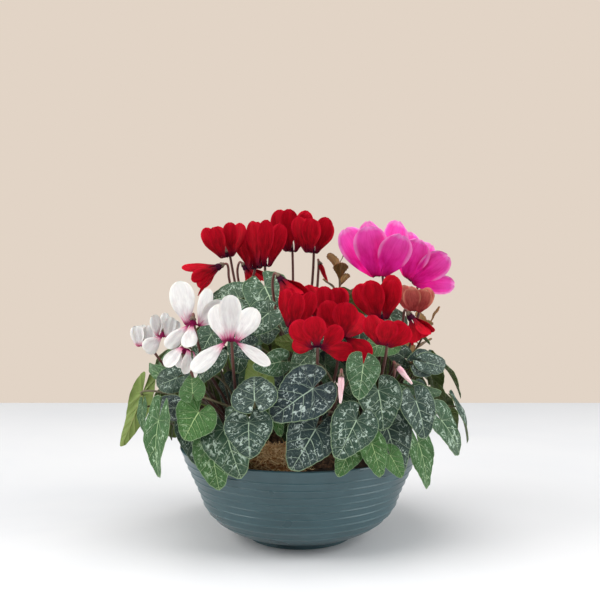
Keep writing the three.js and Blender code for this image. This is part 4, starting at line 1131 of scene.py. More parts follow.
class Petal:
    def __init__(self, head, row, row_index, k):
        splay, length, width, way, twist = (
            size[k] if isinstance(size, tuple) else size for size in row[7:]
        )
        seed = 10 * row_index + k + 900
        angle = math.pi + math.radians(PETAL_STEP) * (k - 2) + math.radians(6) * sway(seed)
        length *= 0.94 + 0.12 * draw(seed + 5)
        self.head, self.seed = head, seed
        self.radial = head.to_stalk * math.cos(angle) + head.across * math.sin(angle)
        self.sideways = np.cross(head.axis, self.radial)
        self.width = width * (0.94 + 0.12 * draw(seed + 17)) * PETAL_FULLNESS[head.colour]
        self.power = CLAW_POWER[head.colour]
        self.twist = math.radians(twist + 8 * sway(seed + 23))
        self.line = petal_line(length, splay + 10 * sway(seed + 29), way)

    def half_width(self, t):
        opening = np.sin(np.pi / 2 * np.minimum(1, t / PETAL_WIDEST)) ** self.power
        opening = CLAW_WIDTH + (1 - CLAW_WIDTH) * opening
        closing = np.maximum(0, (t - PETAL_WIDEST) / (1 - PETAL_WIDEST)) ** 2.4
        return 0.5 * self.width * opening * np.sqrt(np.maximum(0, 1 - closing))

    def spine(self, t):
        """Middle line and the directions across, through and along the petal, for shares t."""
        place = t * LINE_STEPS
        k = np.minimum(LINE_STEPS - 1, place.astype(int))
        part = (place - k)[:, None]
        spot = self.line[k] * (1 - part) + self.line[k + 1] * part
        slope = self.line[k + 1] - self.line[k]
        slope /= np.linalg.norm(slope, axis=1)[:, None]
        along = slope[:, :1] * self.radial + slope[:, 1:] * self.head.axis
        face = slope[:, 1:] * self.radial - slope[:, :1] * self.head.axis
        turned = (self.twist * np.minimum(1, t / 0.3))[:, None]
        wide = self.sideways * np.cos(turned) + face * np.sin(turned)
        thick = np.cross(wide, along)
        thick /= np.linalg.norm(thick, axis=1)[:, None]
        centre = self.head.mouth + spot[:, :1] * self.radial + spot[:, 1:] * self.head.axis
        return centre, wide, thick, along

    def samples(self):
        t = np.linspace(0.1, 1, 12)
        centre, wide, _, _ = self.spine(t)
        half = self.half_width(t)[:, None]
        return np.concatenate([centre + a * half * wide for a in (-1, -0.5, 0, 0.5, 1)])


def add_petal(shape, petal):
    rows, columns = PETAL_GRID
    t = (np.linspace(0.0, 0.995, rows) ** 0.92)[:, None]
    across = np.linspace(-1, 1, columns)[None, :]
    centre, wide, thick, along = (part[:, None] for part in petal.spine(t[:, 0]))
    half = petal.half_width(t)
    seed = petal.seed

    frilled = 1.0 if petal.head.colour == "pink" else 0.0
    edge = np.abs(across) ** 2
    late = smooth(0.3, 0.9, t)
    tip = smooth(0.8, 1.0, t)
    wave = np.sin(t * (9 + 5 * draw(seed + 41)) + 3 * across + phase(seed + 43))
    ripple = (0.05 + 0.05 * frilled) * half * edge * late * wave
    crimp = np.sin(t * 60 + 5 * across) * edge * late
    ripple = ripple + (0.12 + 0.4 * frilled) * crimp
    fold = 0.05 * half * np.cos(np.pi * across * 1.5) * smooth(0.1, 0.5, t)
    curl = -0.9 * draw(seed + 59) * tip * edge
    lift = 0.16 * half * edge + ripple + fold + curl
    notch = np.sin(across * (13 + 4 * draw(seed + 47)) + phase(seed + 53))
    lengthen = (0.25 + 0.9 * frilled) * notch * tip
    grid = centre + (across * half)[..., None] * wide
    grid = grid + lift[..., None] * thick + lengthen[..., None] * along
    normals = np.broadcast_to(thick, grid.shape)
    points, faces, spread = shell(grid, normals, (0.32 - 0.14 * late) * (1 - 0.35 * edge))
    shape.add(points, faces, petal=spread(stacked(t, across, 10 * draw(seed + 61))))


def set_round(head, profile, lobes, lobe_share, twist=0.0):
    """A closed turned body round a head's axis, with a soft lobe for each petal."""
    points, faces = lathe(profile, ROUND_SIDES)
    angle = np.arctan2(points[:, 1], points[:, 0])
    reach = np.hypot(points[:, 0], points[:, 1])
    height = points[:, 2]
    wave = np.cos(PETAL_COUNT * (angle + twist * height))
    reach = reach * (1 + lobes * lobe_share(height) * wave)
    placed = (
        head.mouth + height[:, None] * head.axis
        + (reach * np.cos(angle))[:, None] * head.to_stalk
        + (reach * np.sin(angle))[:, None] * head.across
    )
    return placed, faces, height, angle


def flower_piece(shape, head, kind):
    name = f"{head.colour}_{kind}_{head.name}"
    shape.piece(f"{name}_petals", PETALS[head.colour], f"{head.colour}_petals", name, sharp=70)


def make_bloom(row, row_index):
    head = flower_head(row)
    shape = Shape()
    petals = [Petal(head, row, row_index, k) for k in range(PETAL_COUNT)]
    for petal in petals:
        add_petal(shape, petal)
    points, faces, height, angle = set_round(
        head, TUBE_PROFILE, 0.07, lambda z: smooth(5.5, 0.5, z),
    )
    share = 0.02 + 0.035 * smooth(1.0, 5.5, height)
    shape.add(points, faces, petal=stacked(share, np.sin(PETAL_COUNT * angle) * 0.3, 0))
    points, faces, _ = sweep([head.at(up) for up, _ in PISTIL], [r for _, r in PISTIL], 8)
    shape.add(points, faces, petal=[0.01, 0.0, 0.0])
    flower_piece(shape, head, "bloom")
    head.samples = np.concatenate([petal.samples() for petal in petals])
    return head


def make_bud(row, index):
    head = bud_head(row)
    length = head.base
    profile = [(0, 0)]
    for station in np.linspace(0.005, 1, 30):
        reach = BUD_RADIUS * float(np.interp(station, *zip(*BUD_OUTLINE)))
        profile.append((reach, station * length))
    profile += [(0.4 * BUD_RADIUS, length), (0, length)]
    points, faces, height, angle = set_round(
        head, profile, 0.09, lambda z: smooth(1.0, 0.75, z / length), BUD_TWIST,
    )
    fold = np.cos(PETAL_COUNT * (angle + BUD_TWIST * height))
    shape = Shape()
    shape.add(points, faces, petal=stacked(0.25 + 0.6 * (1 - height / length), fold, index))
    flower_piece(shape, head, "bud")
    head.samples = np.array([head.at(share * length) for share in np.linspace(0, 1, 8)])
    return head


def add_sepals(shape, head, seed):
    """Narrow sepals, as many as petals, that hug the end of the flower's tube."""
    rows, columns = 9, 7
    s = np.linspace(0, 1, rows)[:, None]
    across = np.linspace(-1, 1, columns)[None, :]
    bottom = head.base + GAP
    for k in range(PETAL_COUNT):
        middle = 2 * math.pi * k / PETAL_COUNT + 0.2 * sway(seed + k)
        wide = math.radians(33) * np.sqrt(np.maximum(0.0, 1 - s**3)) + 0.02
        angle = middle + across * wide
        up = bottom + CALYX_HEIGHT * (1 - 1.3 * s) - 0.15 * across**2
        out = 1.55 + (head.neck - 1.05) * smooth(0, 0.8, s) + 0.1 * across**2 * s
        out = np.broadcast_to(out, angle.shape)
        radial = np.cos(angle)[..., None] * head.to_stalk + np.sin(angle)[..., None] * head.across
        grid = head.mouth + up[..., None] * head.axis + out[..., None] * radial
        points, faces, spread = shell(grid, radial, np.full(angle.shape, HALF_SEPAL))
        shape.add(points, faces, run=spread(stacked(0.75 - 0.4 * s, 0.5, 0 * angle)))


# Stalks


def plant_crown(plant):
    return vec(*PLANTS[plant], CORM_TOP + GAP + 2)


def set_feet(plant, items, fan, rings):
    """The feet of a plant's stalks stand round its crown in the order of their bearings."""
    centre = plant_crown(plant)
    reaches = [item.goal[:2] - centre[:2] for item in items]
    total = np.sum(reaches, axis=0)
    mean = math.atan2(total[1], total[0]) % (2 * math.pi)

    def offset(reach):
        turn = math.atan2(reach[1], reach[0]) - mean
        return math.atan2(math.sin(turn), math.cos(turn))

    order = sorted(range(len(items)), key=lambda k: offset(reaches[k]))
    for rank, k in enumerate(order):
        angle = mean + math.radians(fan) * (rank / max(1, len(items) - 1) - 0.5)
        out = rings[rank % len(rings)]
        items[k].foot = centre + out * level(angle)


def stalk_run(start, end, bow):
    """The way from start to end, its length, its level direction and its bow to the left."""
    reach = end - start
    flat = unit(vec(reach[0], reach[1], 0))
    return reach, float(np.linalg.norm(reach)), flat, left_of(flat) * bow


def petiole_curve(leaf, bow):
    start = leaf.foot
    end = leaf.points(0, 0, leaf.shift) - leaf.face * CAD_BLADE_THICK / 2
    end = end + leaf.along * PETIOLE_RADIUS / 2
    _, size, flat, aside = stalk_run(start, end, bow)
    rise = start + flat * 0.1 * size + vec(0, 0, 0.45 * size) + aside
    under = end - leaf.face * 0.28 * size - leaf.along * 0.12 * size + aside
    return CubicBezier(start, rise, under, end)


def peduncle_curve(head, bow):
    start = head.foot
    end = head.at(head.base + GAP + CALYX_HEIGHT - 0.6)
    over = head.at(head.base + GAP + CALYX_HEIGHT + 2.2, 1.6)
    past = head.at(head.base + CALYX_HEIGHT + 1.6, 7)
    below = past + head.to_stalk * 3.5 * abs(head.axis[2]) - vec(0, 0, 10)
    reach, size, flat, aside = stalk_run(start, below, bow)
    low = start + reach * 0.3 + aside - flat * 0.08 * size
    high = start + reach * 0.68 + aside + flat * 0.02 * size
    return CatmullRom([start, low, high, below, past, over, end])


# What the solids were tried with: shifts of a blade, bows of a stalk, the bearings of a blade's
# corners, and the share of the way along where a stalk has its rings of corners
BLADE_SHIFTS = (3, 6, 9, 12, 15, 18)
STALK_BOWS = (0, 8, -8, 16, -16, 26, -26, 38, -38)
OUTER_ANGLES = np.radians([-165, -140, -110, -80, -50, -22, 0, 22, 50, 80, 110, 140, 165])
PETIOLE_STATIONS = (0.84, 0.45)
PEDUNCLE_STATIONS = (2.2 / 6, 3 / 6, 3.7 / 6, 4.3 / 6, 5 / 6)
NEAR = 0.05


def search_tree(points):
    tree = kdtree.KDTree(len(points))
    for k, point in enumerate(points):
        tree.insert(point, k)
    tree.balance()
    return tree


def corner_tree(node):
    """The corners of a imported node, in millimetres, ready to be searched."""
    return search_tree([corner.co / MM for corner in frame["nodes"][node].data.vertices])


def blade_shifts(leaf):
    yield vec(0, 0, 0)
    for size in BLADE_SHIFTS:
        for direction in (leaf.face, leaf.along, leaf.side):
            yield direction * size
            yield -direction * size


def find_shift(leaf, tree):
    """The shift at which the blade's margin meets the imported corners."""
    def met(shift):
        margin = leaf.points(1, OUTER_ANGLES, shift)
        return sum(tree.find(p)[2] < NEAR for p in margin)

    return max(blade_shifts(leaf), key=met)


def find_bow(curve_for, tree, radius, stations):
    """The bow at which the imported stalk's corners stand one radius from the curve's stations."""
    def met(bow):
        curve = curve_for(bow)
        found = 0
        for t in stations:
            ring = tree.find_range(curve.at(t), radius + NEAR)
            found += sum(distance > radius - NEAR for _, _, distance in ring)
        return found

    return max(STALK_BOWS, key=met)


# Pieces of the planting


def add_blade(shape, leaf, rows, columns):
    rho = (np.arange(1, rows + 1) / rows)[:, None]
    angle = np.linspace(-SINUS, SINUS, columns)[None, :]
    rho, angle = np.broadcast_arrays(rho, angle)
    u, v = leaf.plane(rho, angle)
    rise = leaf.rise(rho, angle, u, v)
    teeth = 0.008 + 0.006 * draw(leaf.index + 410)
    scallop = 1 + teeth * rho**6 * np.sin(23 * angle + 9 * draw(leaf.index + 430))
    frill = 0.006 * leaf.length * rho**5 * np.sin(13 * angle + 6 * draw(leaf.index + 450))
    across = v / leaf.stretch
    off = vein_distance(u / leaf.length, across / leaf.length)
    puff = 0.011 * leaf.length * smooth(0, 0.09, off) * (1 - rho**4) * smooth(0.0, 0.15, rho)
    grid = leaf.set_out(u * scallop, v * scallop, rise + frill + puff, leaf.shift)
    half = HALF_BLADE * (1 - 0.45 * rho**8)
    normals = np.broadcast_to(leaf.face, grid.shape)
    middle = leaf.points(0, 0, leaf.shift), leaf.face, HALF_BLADE
    points, faces, spread = shell(grid, normals, half, middle)
    field = stacked(u / leaf.length, across / leaf.length, rho)
    size = rows * columns
    under = np.concatenate([np.zeros(size), np.ones(size), [0, 1]])
    look = [leaf.green, leaf.silver, leaf.index]
    shape.add(points, faces, leaf=spread(field, [0, 0, 0]), under=under, look=look)


def add_stalk(shape, curve, kind, seed, past=0.0, direction=None):
    """A stalk along a curve, drawn past its end where it enters a blade."""
    foot_radius, head_radius, redness = kind
    line = [curve.at(t) for t in np.linspace(0, 1, STALK_STEPS)]
    if past:
        line.append(line[-1] + direction * past)
    t = np.linspace(0, 1, len(line))
    wobble = 0.05 * np.sin(9 * t + phase(seed))
    radii = foot_radius + (head_radius - foot_radius) * t + wobble
    points, faces, share = sweep(line, radii, STALK_SIDES)
    shape.add(points, faces, run=stacked(share, redness, draw(seed)))


def add_crown(shape, plant):
    bottom = CORM_TOP + GAP
    profile = [(0, bottom)]
    for share in np.linspace(0.02, 0.98, 9):
        reach = CROWN_RADIUS * (1 - 0.25 * share**2)
        profile.append((reach if share < 0.9 else reach * 0.8, bottom + CROWN_HEIGHT * share))
    profile.append((0, bottom + CROWN_HEIGHT + 0.8))
    points, faces = lathe(profile, ROUND_SIDES)
    angle = np.arctan2(points[:, 1], points[:, 0])
    knobs = 1 + 0.05 * np.sin(11 * angle + points[:, 2]) + 0.03 * np.sin(23 * angle)
    points[:, :2] *= knobs[:, None]
    points[:, :2] += PLANTS[plant]
    shape.add(points, faces, run=[0.0, 0.6, 0.3])


def settle_plant(plant, leaves, heads):
    """Give each leaf and flower of a plant the place and the stalk that its solid has."""
    tree = corner_tree(f"{plant}_plant")
    set_feet(plant, heads, PEDUNCLE_FAN, PEDUNCLE_RING)
    set_feet(plant, leaves, PETIOLE_FAN, PETIOLE_RINGS)
    for leaf in leaves:
        leaf.shift = find_shift(leaf, tree)
        bow = find_bow(lambda b: petiole_curve(leaf, b), tree, PETIOLE_RADIUS, PETIOLE_STATIONS)
        leaf.curve = petiole_curve(leaf, bow)
    for head in heads:
        bow = find_bow(lambda b: peduncle_curve(head, b), tree, PEDUNCLE_RADIUS, PEDUNCLE_STATIONS)
        head.curve = peduncle_curve(head, bow)


def line_samples(curve, first=0.2):
    return np.array([curve.at(t) for t in np.linspace(first, 0.98, 26)])


def small_leaf(k, root, length, heading, roll, to_front, silver):
    """A young leaf of the nearest plant; its blade points along the heading."""
    plant = min(PLANTS, key=lambda name: float(np.hypot(*(root[:2] - PLANTS[name]))))
    width = length * (1.02 + 0.2 * draw(k + 0.61))
    # Painted shade: young leaves mostly get the dark blue-green look, for the shade under the canopy
    green = 0.05 + 0.6 * draw(k + 0.29) ** 2
    tip = root + length * unit(heading)
    return Leaf(k + 2000, plant, root, tip, width, roll * sway(k + 0.83), to_front, green, silver)


def crown_leaf(k):
    """A small leaf that closes the top of the canopy between the flower stalks."""
    out = math.sqrt(draw(k + 0.37))
    outward = level(YOUNG_TURN * k)
    shares = vec(out * outward[0], out * outward[1], draw(k + 0.71))
    root = CROWN_LEAF_CENTRE + CROWN_LEAF_SPREAD * shares
    heading = 0.9 * outward + 0.5 * sway(k + 0.19) * left_of(outward) - vec(0, 0, 0.35)
    return small_leaf(k, root, 27 + 17 * draw(k + 0.53), heading, 30, 0, 0.4)


def canopy_leaf(k):
    """A small leaf under the canopy, on a spiral round the pot; how deep it sits is by chance."""
    bearing = (YOUNG_TURN * k) % (2 * math.pi)
    in_front = 200 < math.degrees(bearing) < 340
    behind = 35 < math.degrees(bearing) < 145
    highest = YOUNG_HIGHEST_BEHIND if behind else YOUNG_HIGHEST
    height = YOUNG_LOWEST + (highest - YOUNG_LOWEST) * draw(k + 0.71)
    least = 22 if in_front else 4 + 0.25 * max(0, height - 170)
    depth = least + (62 if in_front else 55) * (1 + 0.8 * (k % 2)) * draw(k + 0.37)
    root = dome_place(bearing, height, -depth)
    outward = level(bearing)
    heading = 0.35 * outward + 0.5 * sway(k + 0.19) * left_of(outward) - vec(0, 0, 0.9)
    length = 25 + 15 * draw(k + 0.53)
    # Painted shade: leaves under the canopy get little silver, so that they read as shaded
    return small_leaf(k, root, length, heading, 40, 0.35 if in_front else 0, 0.2)


def inside(points, low, high):
    return ((points > low) & (points < high)).all(axis=1)


def lay_young_leaves(taken):
    """Young leaves that keep clear of everything taken, and of each other."""
    tree = search_tree(taken)
    laid = []
    own = np.full((1, 3), 1e6)

    def clear(points, room):
        """Every sixth point is tried first, because most places fail there."""
        if any(tree.find(p)[2] < room for p in [*points[::6], *points]):
            return False
        near = own[inside(own, points.min(axis=0) - room, points.max(axis=0) + room)]
        apart = np.linalg.norm(points[:, None] - near[None, :], axis=2)
        return not (apart < room).any()

    for k in range(YOUNG_TRIES):
        leaf = crown_leaf(k) if k % 3 == 0 else canopy_leaf(k)
        blade = leaf.samples()
        if inside(blade, *COIR_VIEW).any() or not inside(blade, *YOUNG_BOX).all():
            continue
        if not clear(blade, YOUNG_ROOM):
            continue
        toward = unit(leaf.root[:2] - PLANTS[leaf.plant])
        leaf.foot = plant_crown(leaf.plant) + vec(*(YOUNG_FOOT_REACH * toward), 0)
        for bow in YOUNG_BOWS:
            leaf.curve = petiole_curve(leaf, bow)
            run = line_samples(leaf.curve, 0.3)[:-3]
            if clear(run, YOUNG_STALK_ROOM):
                laid.append(leaf)
                own = np.concatenate([own, blade, run])
                break
    return laid


def of_plant(things, plant):
    return [thing for thing in things if thing.plant == plant]


def make_plant(plant, leaves, heads, young):
    node = f"{plant}_plant"
    blades, stalks, sepals = Shape(), Shape(), Shape()
    add_crown(stalks, plant)
    for leaf in leaves:
        add_blade(blades, leaf, *BLADE_GRID)
        add_stalk(stalks, leaf.curve, PETIOLE, leaf.index + 700, 0.9, leaf.face)
    for leaf in young:
        add_blade(blades, leaf, *YOUNG_GRID)
        add_stalk(stalks, leaf.curve, YOUNG_PETIOLE, leaf.index + 700, 0.8, leaf.face)
    for k, head in enumerate(heads):
        add_stalk(stalks, head.curve, PEDUNCLE, k + 800)
        add_sepals(sepals, head, 10 * k + 850)
    blades.piece(f"{plant}_blades", LEAF, "foliage", node, sharp=60)
    stalks.piece(f"{plant}_stalks", STALK, "foliage", node)
    sepals.piece(f"{plant}_sepals", STALK, "foliage", node)


def sprig_curve(row):
    _, foot, top, _ = row
    start, end = vec(*foot, SPRIG_DEPTH + GAP), vec(*top)
    middle = (start + end) / 2
    middle[0] = foot[0] + 0.25 * (end[0] - foot[0])
    middle[1] = foot[1] + 0.25 * (end[1] - foot[1])
    return CatmullRom([start, vec(*foot, SOIL_MIDDLE + 4), middle, end])


def add_sprig_leaf(shape, place, size, k):
    bearing, lift = 2.4 * k, math.radians(62 - 5 * k)
    out = level(bearing) * math.cos(lift) + vec(0, 0, math.sin(lift))
    side = left_of(level(bearing))
    face = np.cross(out, side)
    length = size * (0.8 + 0.3 * draw(k + 70))
    t = np.linspace(0.0, 1.0, 25)[:, None]
    across = np.linspace(-1, 1, 13)[None, :]
    notch = 1 + 0.07 * np.sin(48 * t + k) * smooth(0.3, 0.5, t)
    wide = across * np.interp(t, *zip(*SPRIG_BLADE)) * notch * length
    wing = 0.9 * smooth(0.1, 0.5, t) + 0.35 * np.sin(14 * t)
    rise = wing * np.abs(across) - 1.6 * t**2
    along = (-0.03 + 1.03 * t)[..., None] * length * out
    grid = place + along + wide[..., None] * side + rise[..., None] * face
    half = np.full(wide.shape, HALF_SPRIG_BLADE)
    points, faces, spread = shell(grid, np.broadcast_to(face, grid.shape), half)
    shape.add(points, faces, petal=spread(stacked(t, across, k)))


def make_sprig(row):
    name, _, _, size = row
    node = f"bronze_sprig_{name}"
    curve = sprig_curve(row)
    stalk, leaves = Shape(), Shape()
    add_stalk(stalk, curve, SPRIG_STALK, 960)
    stalk.piece(f"{node}_stalk", STALK, "bronze_foliage", node)
    for k in range(SPRIG_LEAVES):
        add_sprig_leaf(leaves, curve.at(1 - 0.024 * k), size, k)
    leaves.piece(f"{node}_leaves", BRONZE, "bronze_foliage", node, sharp=60)


# Pot, soil, corms and coir


def inner_wall(inset):
    wall = []
    for k in (0, 1, 3, 6, 8):
        (r, z), (r1, z1) = WALL_OUTLINE[k], WALL_OUTLINE[k + 1]
        run = unit(vec(r1 - r, z1 - z)) * inset
        wall.append((r - run[1], z + run[0]))
    return [(FLOOR_RADIUS - inset + POT_WALL, POT_FLOOR + inset - POT_WALL), *wall]


def make_pot():
    pitch = (RIB_HIGHEST - RIB_LOWEST) / (RIB_COUNT - 1)
    ridges = [RIB_LOWEST + k * pitch for k in range(RIB_COUNT)]
    profile = [(0, 0), (FOOT_RADIUS - 3, 0), (FOOT_RADIUS - 0.6, 0.15), (FOOT_RADIUS, 0.8)]
    profile += [(FOOT_RADIUS, FOOT_HEIGHT - 0.8), (FOOT_RADIUS + 0.8, FOOT_HEIGHT)]
    for z in np.arange(WALL_OUTLINE[0][1], WALL_TOP, WALL_PITCH):
        rib = sum(math.exp(-(((z - ridge) / 0.75) ** 2)) for ridge in ridges)
        profile.append((radius_at(WALL_LINE, z) + RIB_DEPTH * rib * 0.92, z))
    profile += [(WALL_OUTLINE[-1][0] - inset, z) for inset, z in LIP_OUTLINE]
    hollow = [(z, r) for r, z in inner_wall(POT_WALL)]
    for z in np.linspace(hollow[-1][0], hollow[0][0], 30):
        profile.append((float(np.interp(z, *zip(*hollow))), z))
    profile.append((0, POT_FLOOR))
    points, faces = lathe(profile, POT_SIDES)
    outside = np.hypot(points[:, 0], points[:, 1]) > np.interp(points[:, 2], *zip(*hollow)) + 1
    # The "rib" field lies along each rib's upper side, where the pot's material paints a highlight
    rib = sum(np.exp(-(((points[:, 2] - ridge - 0.3) / 0.7) ** 2)) for ridge in ridges) * outside
    shape = Shape()
    shape.add(points, faces, rib=rib)
    shape.piece("pot_bowl", pot_material(), "pot", "pot", sharp=40)


def soil_top(radius):
    reach = np.minimum(1, radius / SOIL_REACH)
    return SOIL_MIDDLE + (SOIL_EDGE - SOIL_MIDDLE) * reach * reach


def fractal(point, size, octaves=3):
    return noise.fractal(Vector(point) / size, 1.0, 2.0, octaves)


def make_soil():
    outline = inner_wall(POT_WALL + GAP + 0.1)
    edge = radius_at(outline, SOIL_EDGE)
    rings = np.linspace(1, edge - 0.2, SOIL_RINGS)
    wall = [(r, z) for r, z in outline if z < SOIL_EDGE]
    profile = [(0, wall[0][1]), *wall, *[(r, soil_top(r)) for r in rings[::-1]], (0, SOIL_MIDDLE)]
    points, faces = lathe(profile, SOIL_SIDES)
    for p in points:
        if p[2] < SOIL_EDGE - 0.5 or math.hypot(p[0], p[1]) > edge - 1:
            continue
        p[2] += 1.1 * fractal(p, 9) + 0.6 * fractal(p, 2.6, 2) - 0.4
        for x, y in PLANTS.values():
            near = math.hypot(p[0] - x, p[1] - y) / (CORM_RADIUS + 0.6)
            if near < 1:
                p[2] = min(p[2], CORM_CENTRE - (CORM_HALF_HEIGHT + 1) * math.sqrt(1 - near * near))
    shape = Shape()
    shape.add(points, faces)
    shape.piece("soil_bed", soil_material(), "soil", "soil")


def make_corm(plant):
    spot = PLANTS[plant]
    profile = [(0, CORM_CENTRE - CORM_HALF_HEIGHT)]
    for angle in np.radians(np.linspace(-86, 56, 34)):
        reach, z = CORM_RADIUS * math.cos(angle), CORM_CENTRE + CORM_HALF_HEIGHT * math.sin(angle)
        profile.append((reach, min(z, CORM_TOP - 0.2)))
    profile += [(CROWN_RADIUS * 0.7, CORM_TOP), (0, CORM_TOP)]
    points, faces = lathe(profile, CORM_SIDES)
    for p in points:
        dent = -0.5 + 0.9 * fractal(p + vec(*spot, 0), 7)
        p[:2] *= 1 + min(0.0, dent) / max(math.hypot(p[0], p[1]), 4)
    points[:, :2] += spot
    shape = Shape()
    shape.add(points, faces)
    shape.piece(f"{plant}_corm_bark", CORM, "corm", f"{plant}_corm")


def mound_height(dx, dy):
    out = math.hypot(dx / MOUND_REACH[0], dy / MOUND_REACH[1])
    return max(0.0, 1 - out**2.4) ** 0.7


def mound_spot(out, angle):
    """Place on the mound from its centre, for a share of the way out and a bearing."""
    return MOUND_REACH[0] * out * math.cos(angle), MOUND_REACH[1] * out * math.sin(angle)


def make_coir_core(base):
    cx, cy = MOUND_CENTRE
    rows, columns = CORE_GRID
    angles = [2 * math.pi * k / columns for k in range(columns)]
    points = []
    for row in range(1, rows + 1):
        out = row / rows
        for angle in angles:
            dx, dy = mound_spot(out, angle)
            lumps = 2.2 * fractal((dx, dy, 3), 5) * (1 - out**6)
            z = base + (MOUND_HEIGHT - 3) * mound_height(dx, dy) + lumps
            points.append((cx + dx * 0.97, cy + dy * 0.97, max(z, base + 0.05)))
    for angle in angles:
        dx, dy = mound_spot(0.95, angle)
        points.append((cx + dx, cy + dy, base))
    faces = grid_faces(rows + 1, columns, wrap=True, flip=True)
    top, under = len(points), len(points) + 1
    points += [(cx, cy, base + MOUND_HEIGHT - 2.4), (cx, cy, base)]
    for k in range(columns):
        after = (k + 1) % columns
        faces.append([top, k, after])
        faces.append([under, rows * columns + after, rows * columns + k])
    core = Shape()
    core.add(points, faces, tint=CORE_TINT)
    core.piece("coir_core", COIR, "coir", "coir_mulch")


def fibre_line(k, base):
    """A short curled fibre; every ninth fibre tilts up more."""
    dx, dy = mound_spot(math.sqrt(draw(k + 0.31)) * 0.98, 2 * math.pi * draw(k + 0.17))
    z = base + (MOUND_HEIGHT - 3.4) * mound_height(dx, dy) + 1.6 * draw(k + 0.43)
    middle = vec(MOUND_CENTRE[0] + dx, MOUND_CENTRE[1] + dy, z)
    lean = 2 * math.pi * draw(k + 0.59)
    tilt = 0.7 * (draw(k + 0.71) - 0.35) + (0.5 if k % 9 == 0 else 0.0)
    run = vec(math.cos(lean) * math.cos(tilt), 0.6 * math.sin(lean) * math.cos(tilt), math.sin(tilt))
    length = 4 + 9 * draw(k + 0.83)
    aside = vec(-run[1], run[0], 0.8 * (draw(k + 0.29) - 0.2)) * (1.2 + 1.6 * draw(k + 0.47))
    bend = vec(sway(k + 0.91), sway(k + 0.13), draw(k + 0.23) - 0.7) * 1.3
    line = []
    for s in np.linspace(0, 1, len(FIBRE_TAPER)):
        curl = aside * math.sin(7 * s + phase(k + 0.53))
        p = middle + run * length * (s - 0.4) + bend * length * s * s + curl
        line.append(vec(p[0], p[1], max(p[2], base + 0.3)))
    return line


def make_coir():
    base = float(soil_top(abs(MOUND_CENTRE[1]) - MOUND_REACH[1])) + GAP
    make_coir_core(base)
    fibres = Shape()
    for k in range(FIBRES):
        thick = 0.24 + 0.4 * draw(k + 0.37)
        points, faces, _ = sweep(fibre_line(k, base), thick * FIBRE_TAPER, 4)
        fibres.add(points, faces, tint=draw(k + 0.67))
    fibres.piece("coir_fibres", COIR, "coir", "coir_mulch")


# The object

make_pot()
make_soil()
make_coir()
heads = [make_bloom(row, k) for k, row in enumerate(FLOWERS)]
heads += [make_bud(row, k) for k, row in enumerate(BUDS)]
leaves = all_leaves()
for plant in PLANTS:
    make_corm(plant)
    settle_plant(plant, of_plant(leaves, plant), of_plant(heads, plant))

taken = [leaf.samples() for leaf in leaves]
taken += [line_samples(thing.curve) for thing in leaves + heads]
taken += [head.samples for head in heads]
for sprig in SPRIGS:
    taken.append(line_samples(sprig_curve(sprig)))
    taken.append(vec(*sprig[2]) + vec(0, 0, -0.3 * sprig[3]) + 0.6 * sprig[3] * np.eye(3))
young = lay_young_leaves(np.concatenate(taken))

for plant in PLANTS:
    make_plant(plant, of_plant(leaves, plant), of_plant(heads, plant), of_plant(young, plant))
for sprig in SPRIGS:
    make_sprig(sprig)

# Floor, light and camera, in metres

FLOOR_SIDE = 1.5
FLOOR_BACK = 0.9
FLOOR_CORNERS = [
    (-FLOOR_SIDE, -FLOOR_SIDE, 0), (FLOOR_SIDE, -FLOOR_SIDE, 0),
    (FLOOR_SIDE, FLOOR_BACK, 0), (-FLOOR_SIDE, FLOOR_BACK, 0),
]
WALL_COLOUR = (226, 212, 198)
FILL_COLOUR = (0.97, 0.98, 1.0)
FILL_STRENGTH = 0.21

# Name, place, target, size, power and colour
LIGHTS = [
    ("left", (-1.8, -0.6, 1.2), (0, 0, 0.15), (1.5, 1.5), 41, (1.0, 0.99, 0.97)),
    ("right", (1.8, -0.6, 1.0), (0, 0, 0.15), (1.5, 1.5), 36, (0.99, 0.99, 0.99)),
    ("top", (0.0, -0.35, 2.3), (0, 0, 0.1), (2.2, 1.9), 35, (1.0, 1.0, 0.99)),
]

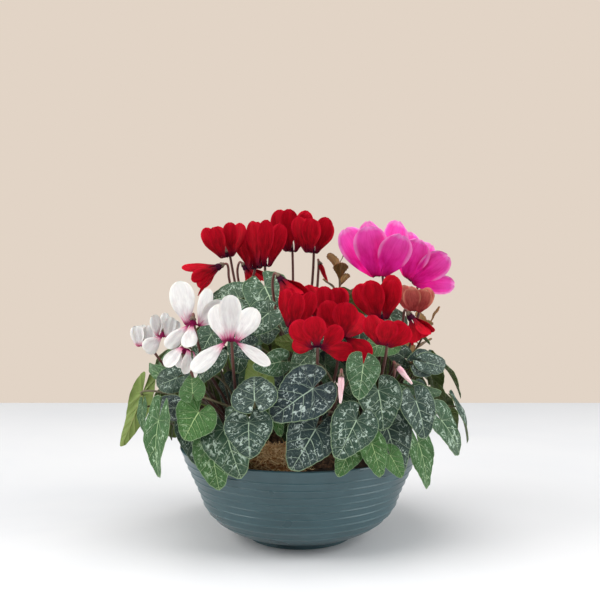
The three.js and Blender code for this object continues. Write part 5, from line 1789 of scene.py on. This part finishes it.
# Focal length and horizon fitted to the photo, in its pixels
FOCAL_PIXELS = 841
IMAGE_PIXELS = 600
HORIZON_ROW = 265
CAMERA_PLACE = (0, -0.96, 0.305)
SENSOR_WIDTH = 36


def put(name, data, place=(0, 0, 0)):
    thing = bpy.data.objects.new(name, data)
    thing.location = place
    bpy.context.scene.collection.objects.link(thing)
    return thing


def make_floor():
    mesh = bpy.data.meshes.new("floor")
    mesh.from_pydata(FLOOR_CORNERS, [], [[0, 1, 2, 3]])
    mesh.materials.append(floor_material())
    floor = put("floor", mesh)


def make_light(name, place, target, size, power, colour):
    light = bpy.data.lights.new(name, "AREA")
    light.shape = "RECTANGLE"
    light.size, light.size_y = size
    light.energy = power
    light.color = colour
    lamp = put(name, light, place)
    lamp.rotation_euler = (Vector(target) - Vector(place)).to_track_quat("-Z", "Y").to_euler()


def make_world():
    """The lens sees a warm wall; the light that fills the shadows is dimmer and neutral."""
    world = bpy.data.worlds.new("studio")
    world.use_nodes = True
    nodes, links = world.node_tree.nodes, world.node_tree.links
    wall = nodes["Background"]
    wall.inputs["Color"].default_value = (*srgb(*WALL_COLOUR), 1)
    fill = nodes.new("ShaderNodeBackground")
    fill.inputs["Color"].default_value = (*FILL_COLOUR, 1)
    fill.inputs["Strength"].default_value = FILL_STRENGTH
    choice = nodes.new("ShaderNodeMixShader")
    links.new(nodes.new("ShaderNodeLightPath").outputs["Is Camera Ray"], choice.inputs[0])
    links.new(fill.outputs[0], choice.inputs[1])
    links.new(wall.outputs[0], choice.inputs[2])
    links.new(choice.outputs[0], nodes["World Output"].inputs["Surface"])
    bpy.context.scene.world = world
    bpy.context.scene.view_settings.view_transform = "Standard"


def make_camera():
    lens = bpy.data.cameras.new("camera")
    lens.sensor_width = SENSOR_WIDTH
    lens.lens = FOCAL_PIXELS / IMAGE_PIXELS * SENSOR_WIDTH
    lens.shift_y = (HORIZON_ROW - IMAGE_PIXELS / 2) / IMAGE_PIXELS
    lens.clip_end = 50
    camera = put("camera", lens, CAMERA_PLACE)
    camera.rotation_euler = (math.pi / 2, 0, 0)
    bpy.context.scene.camera = camera


make_floor()
for light in LIGHTS:
    make_light(*light)
make_world()
make_camera()
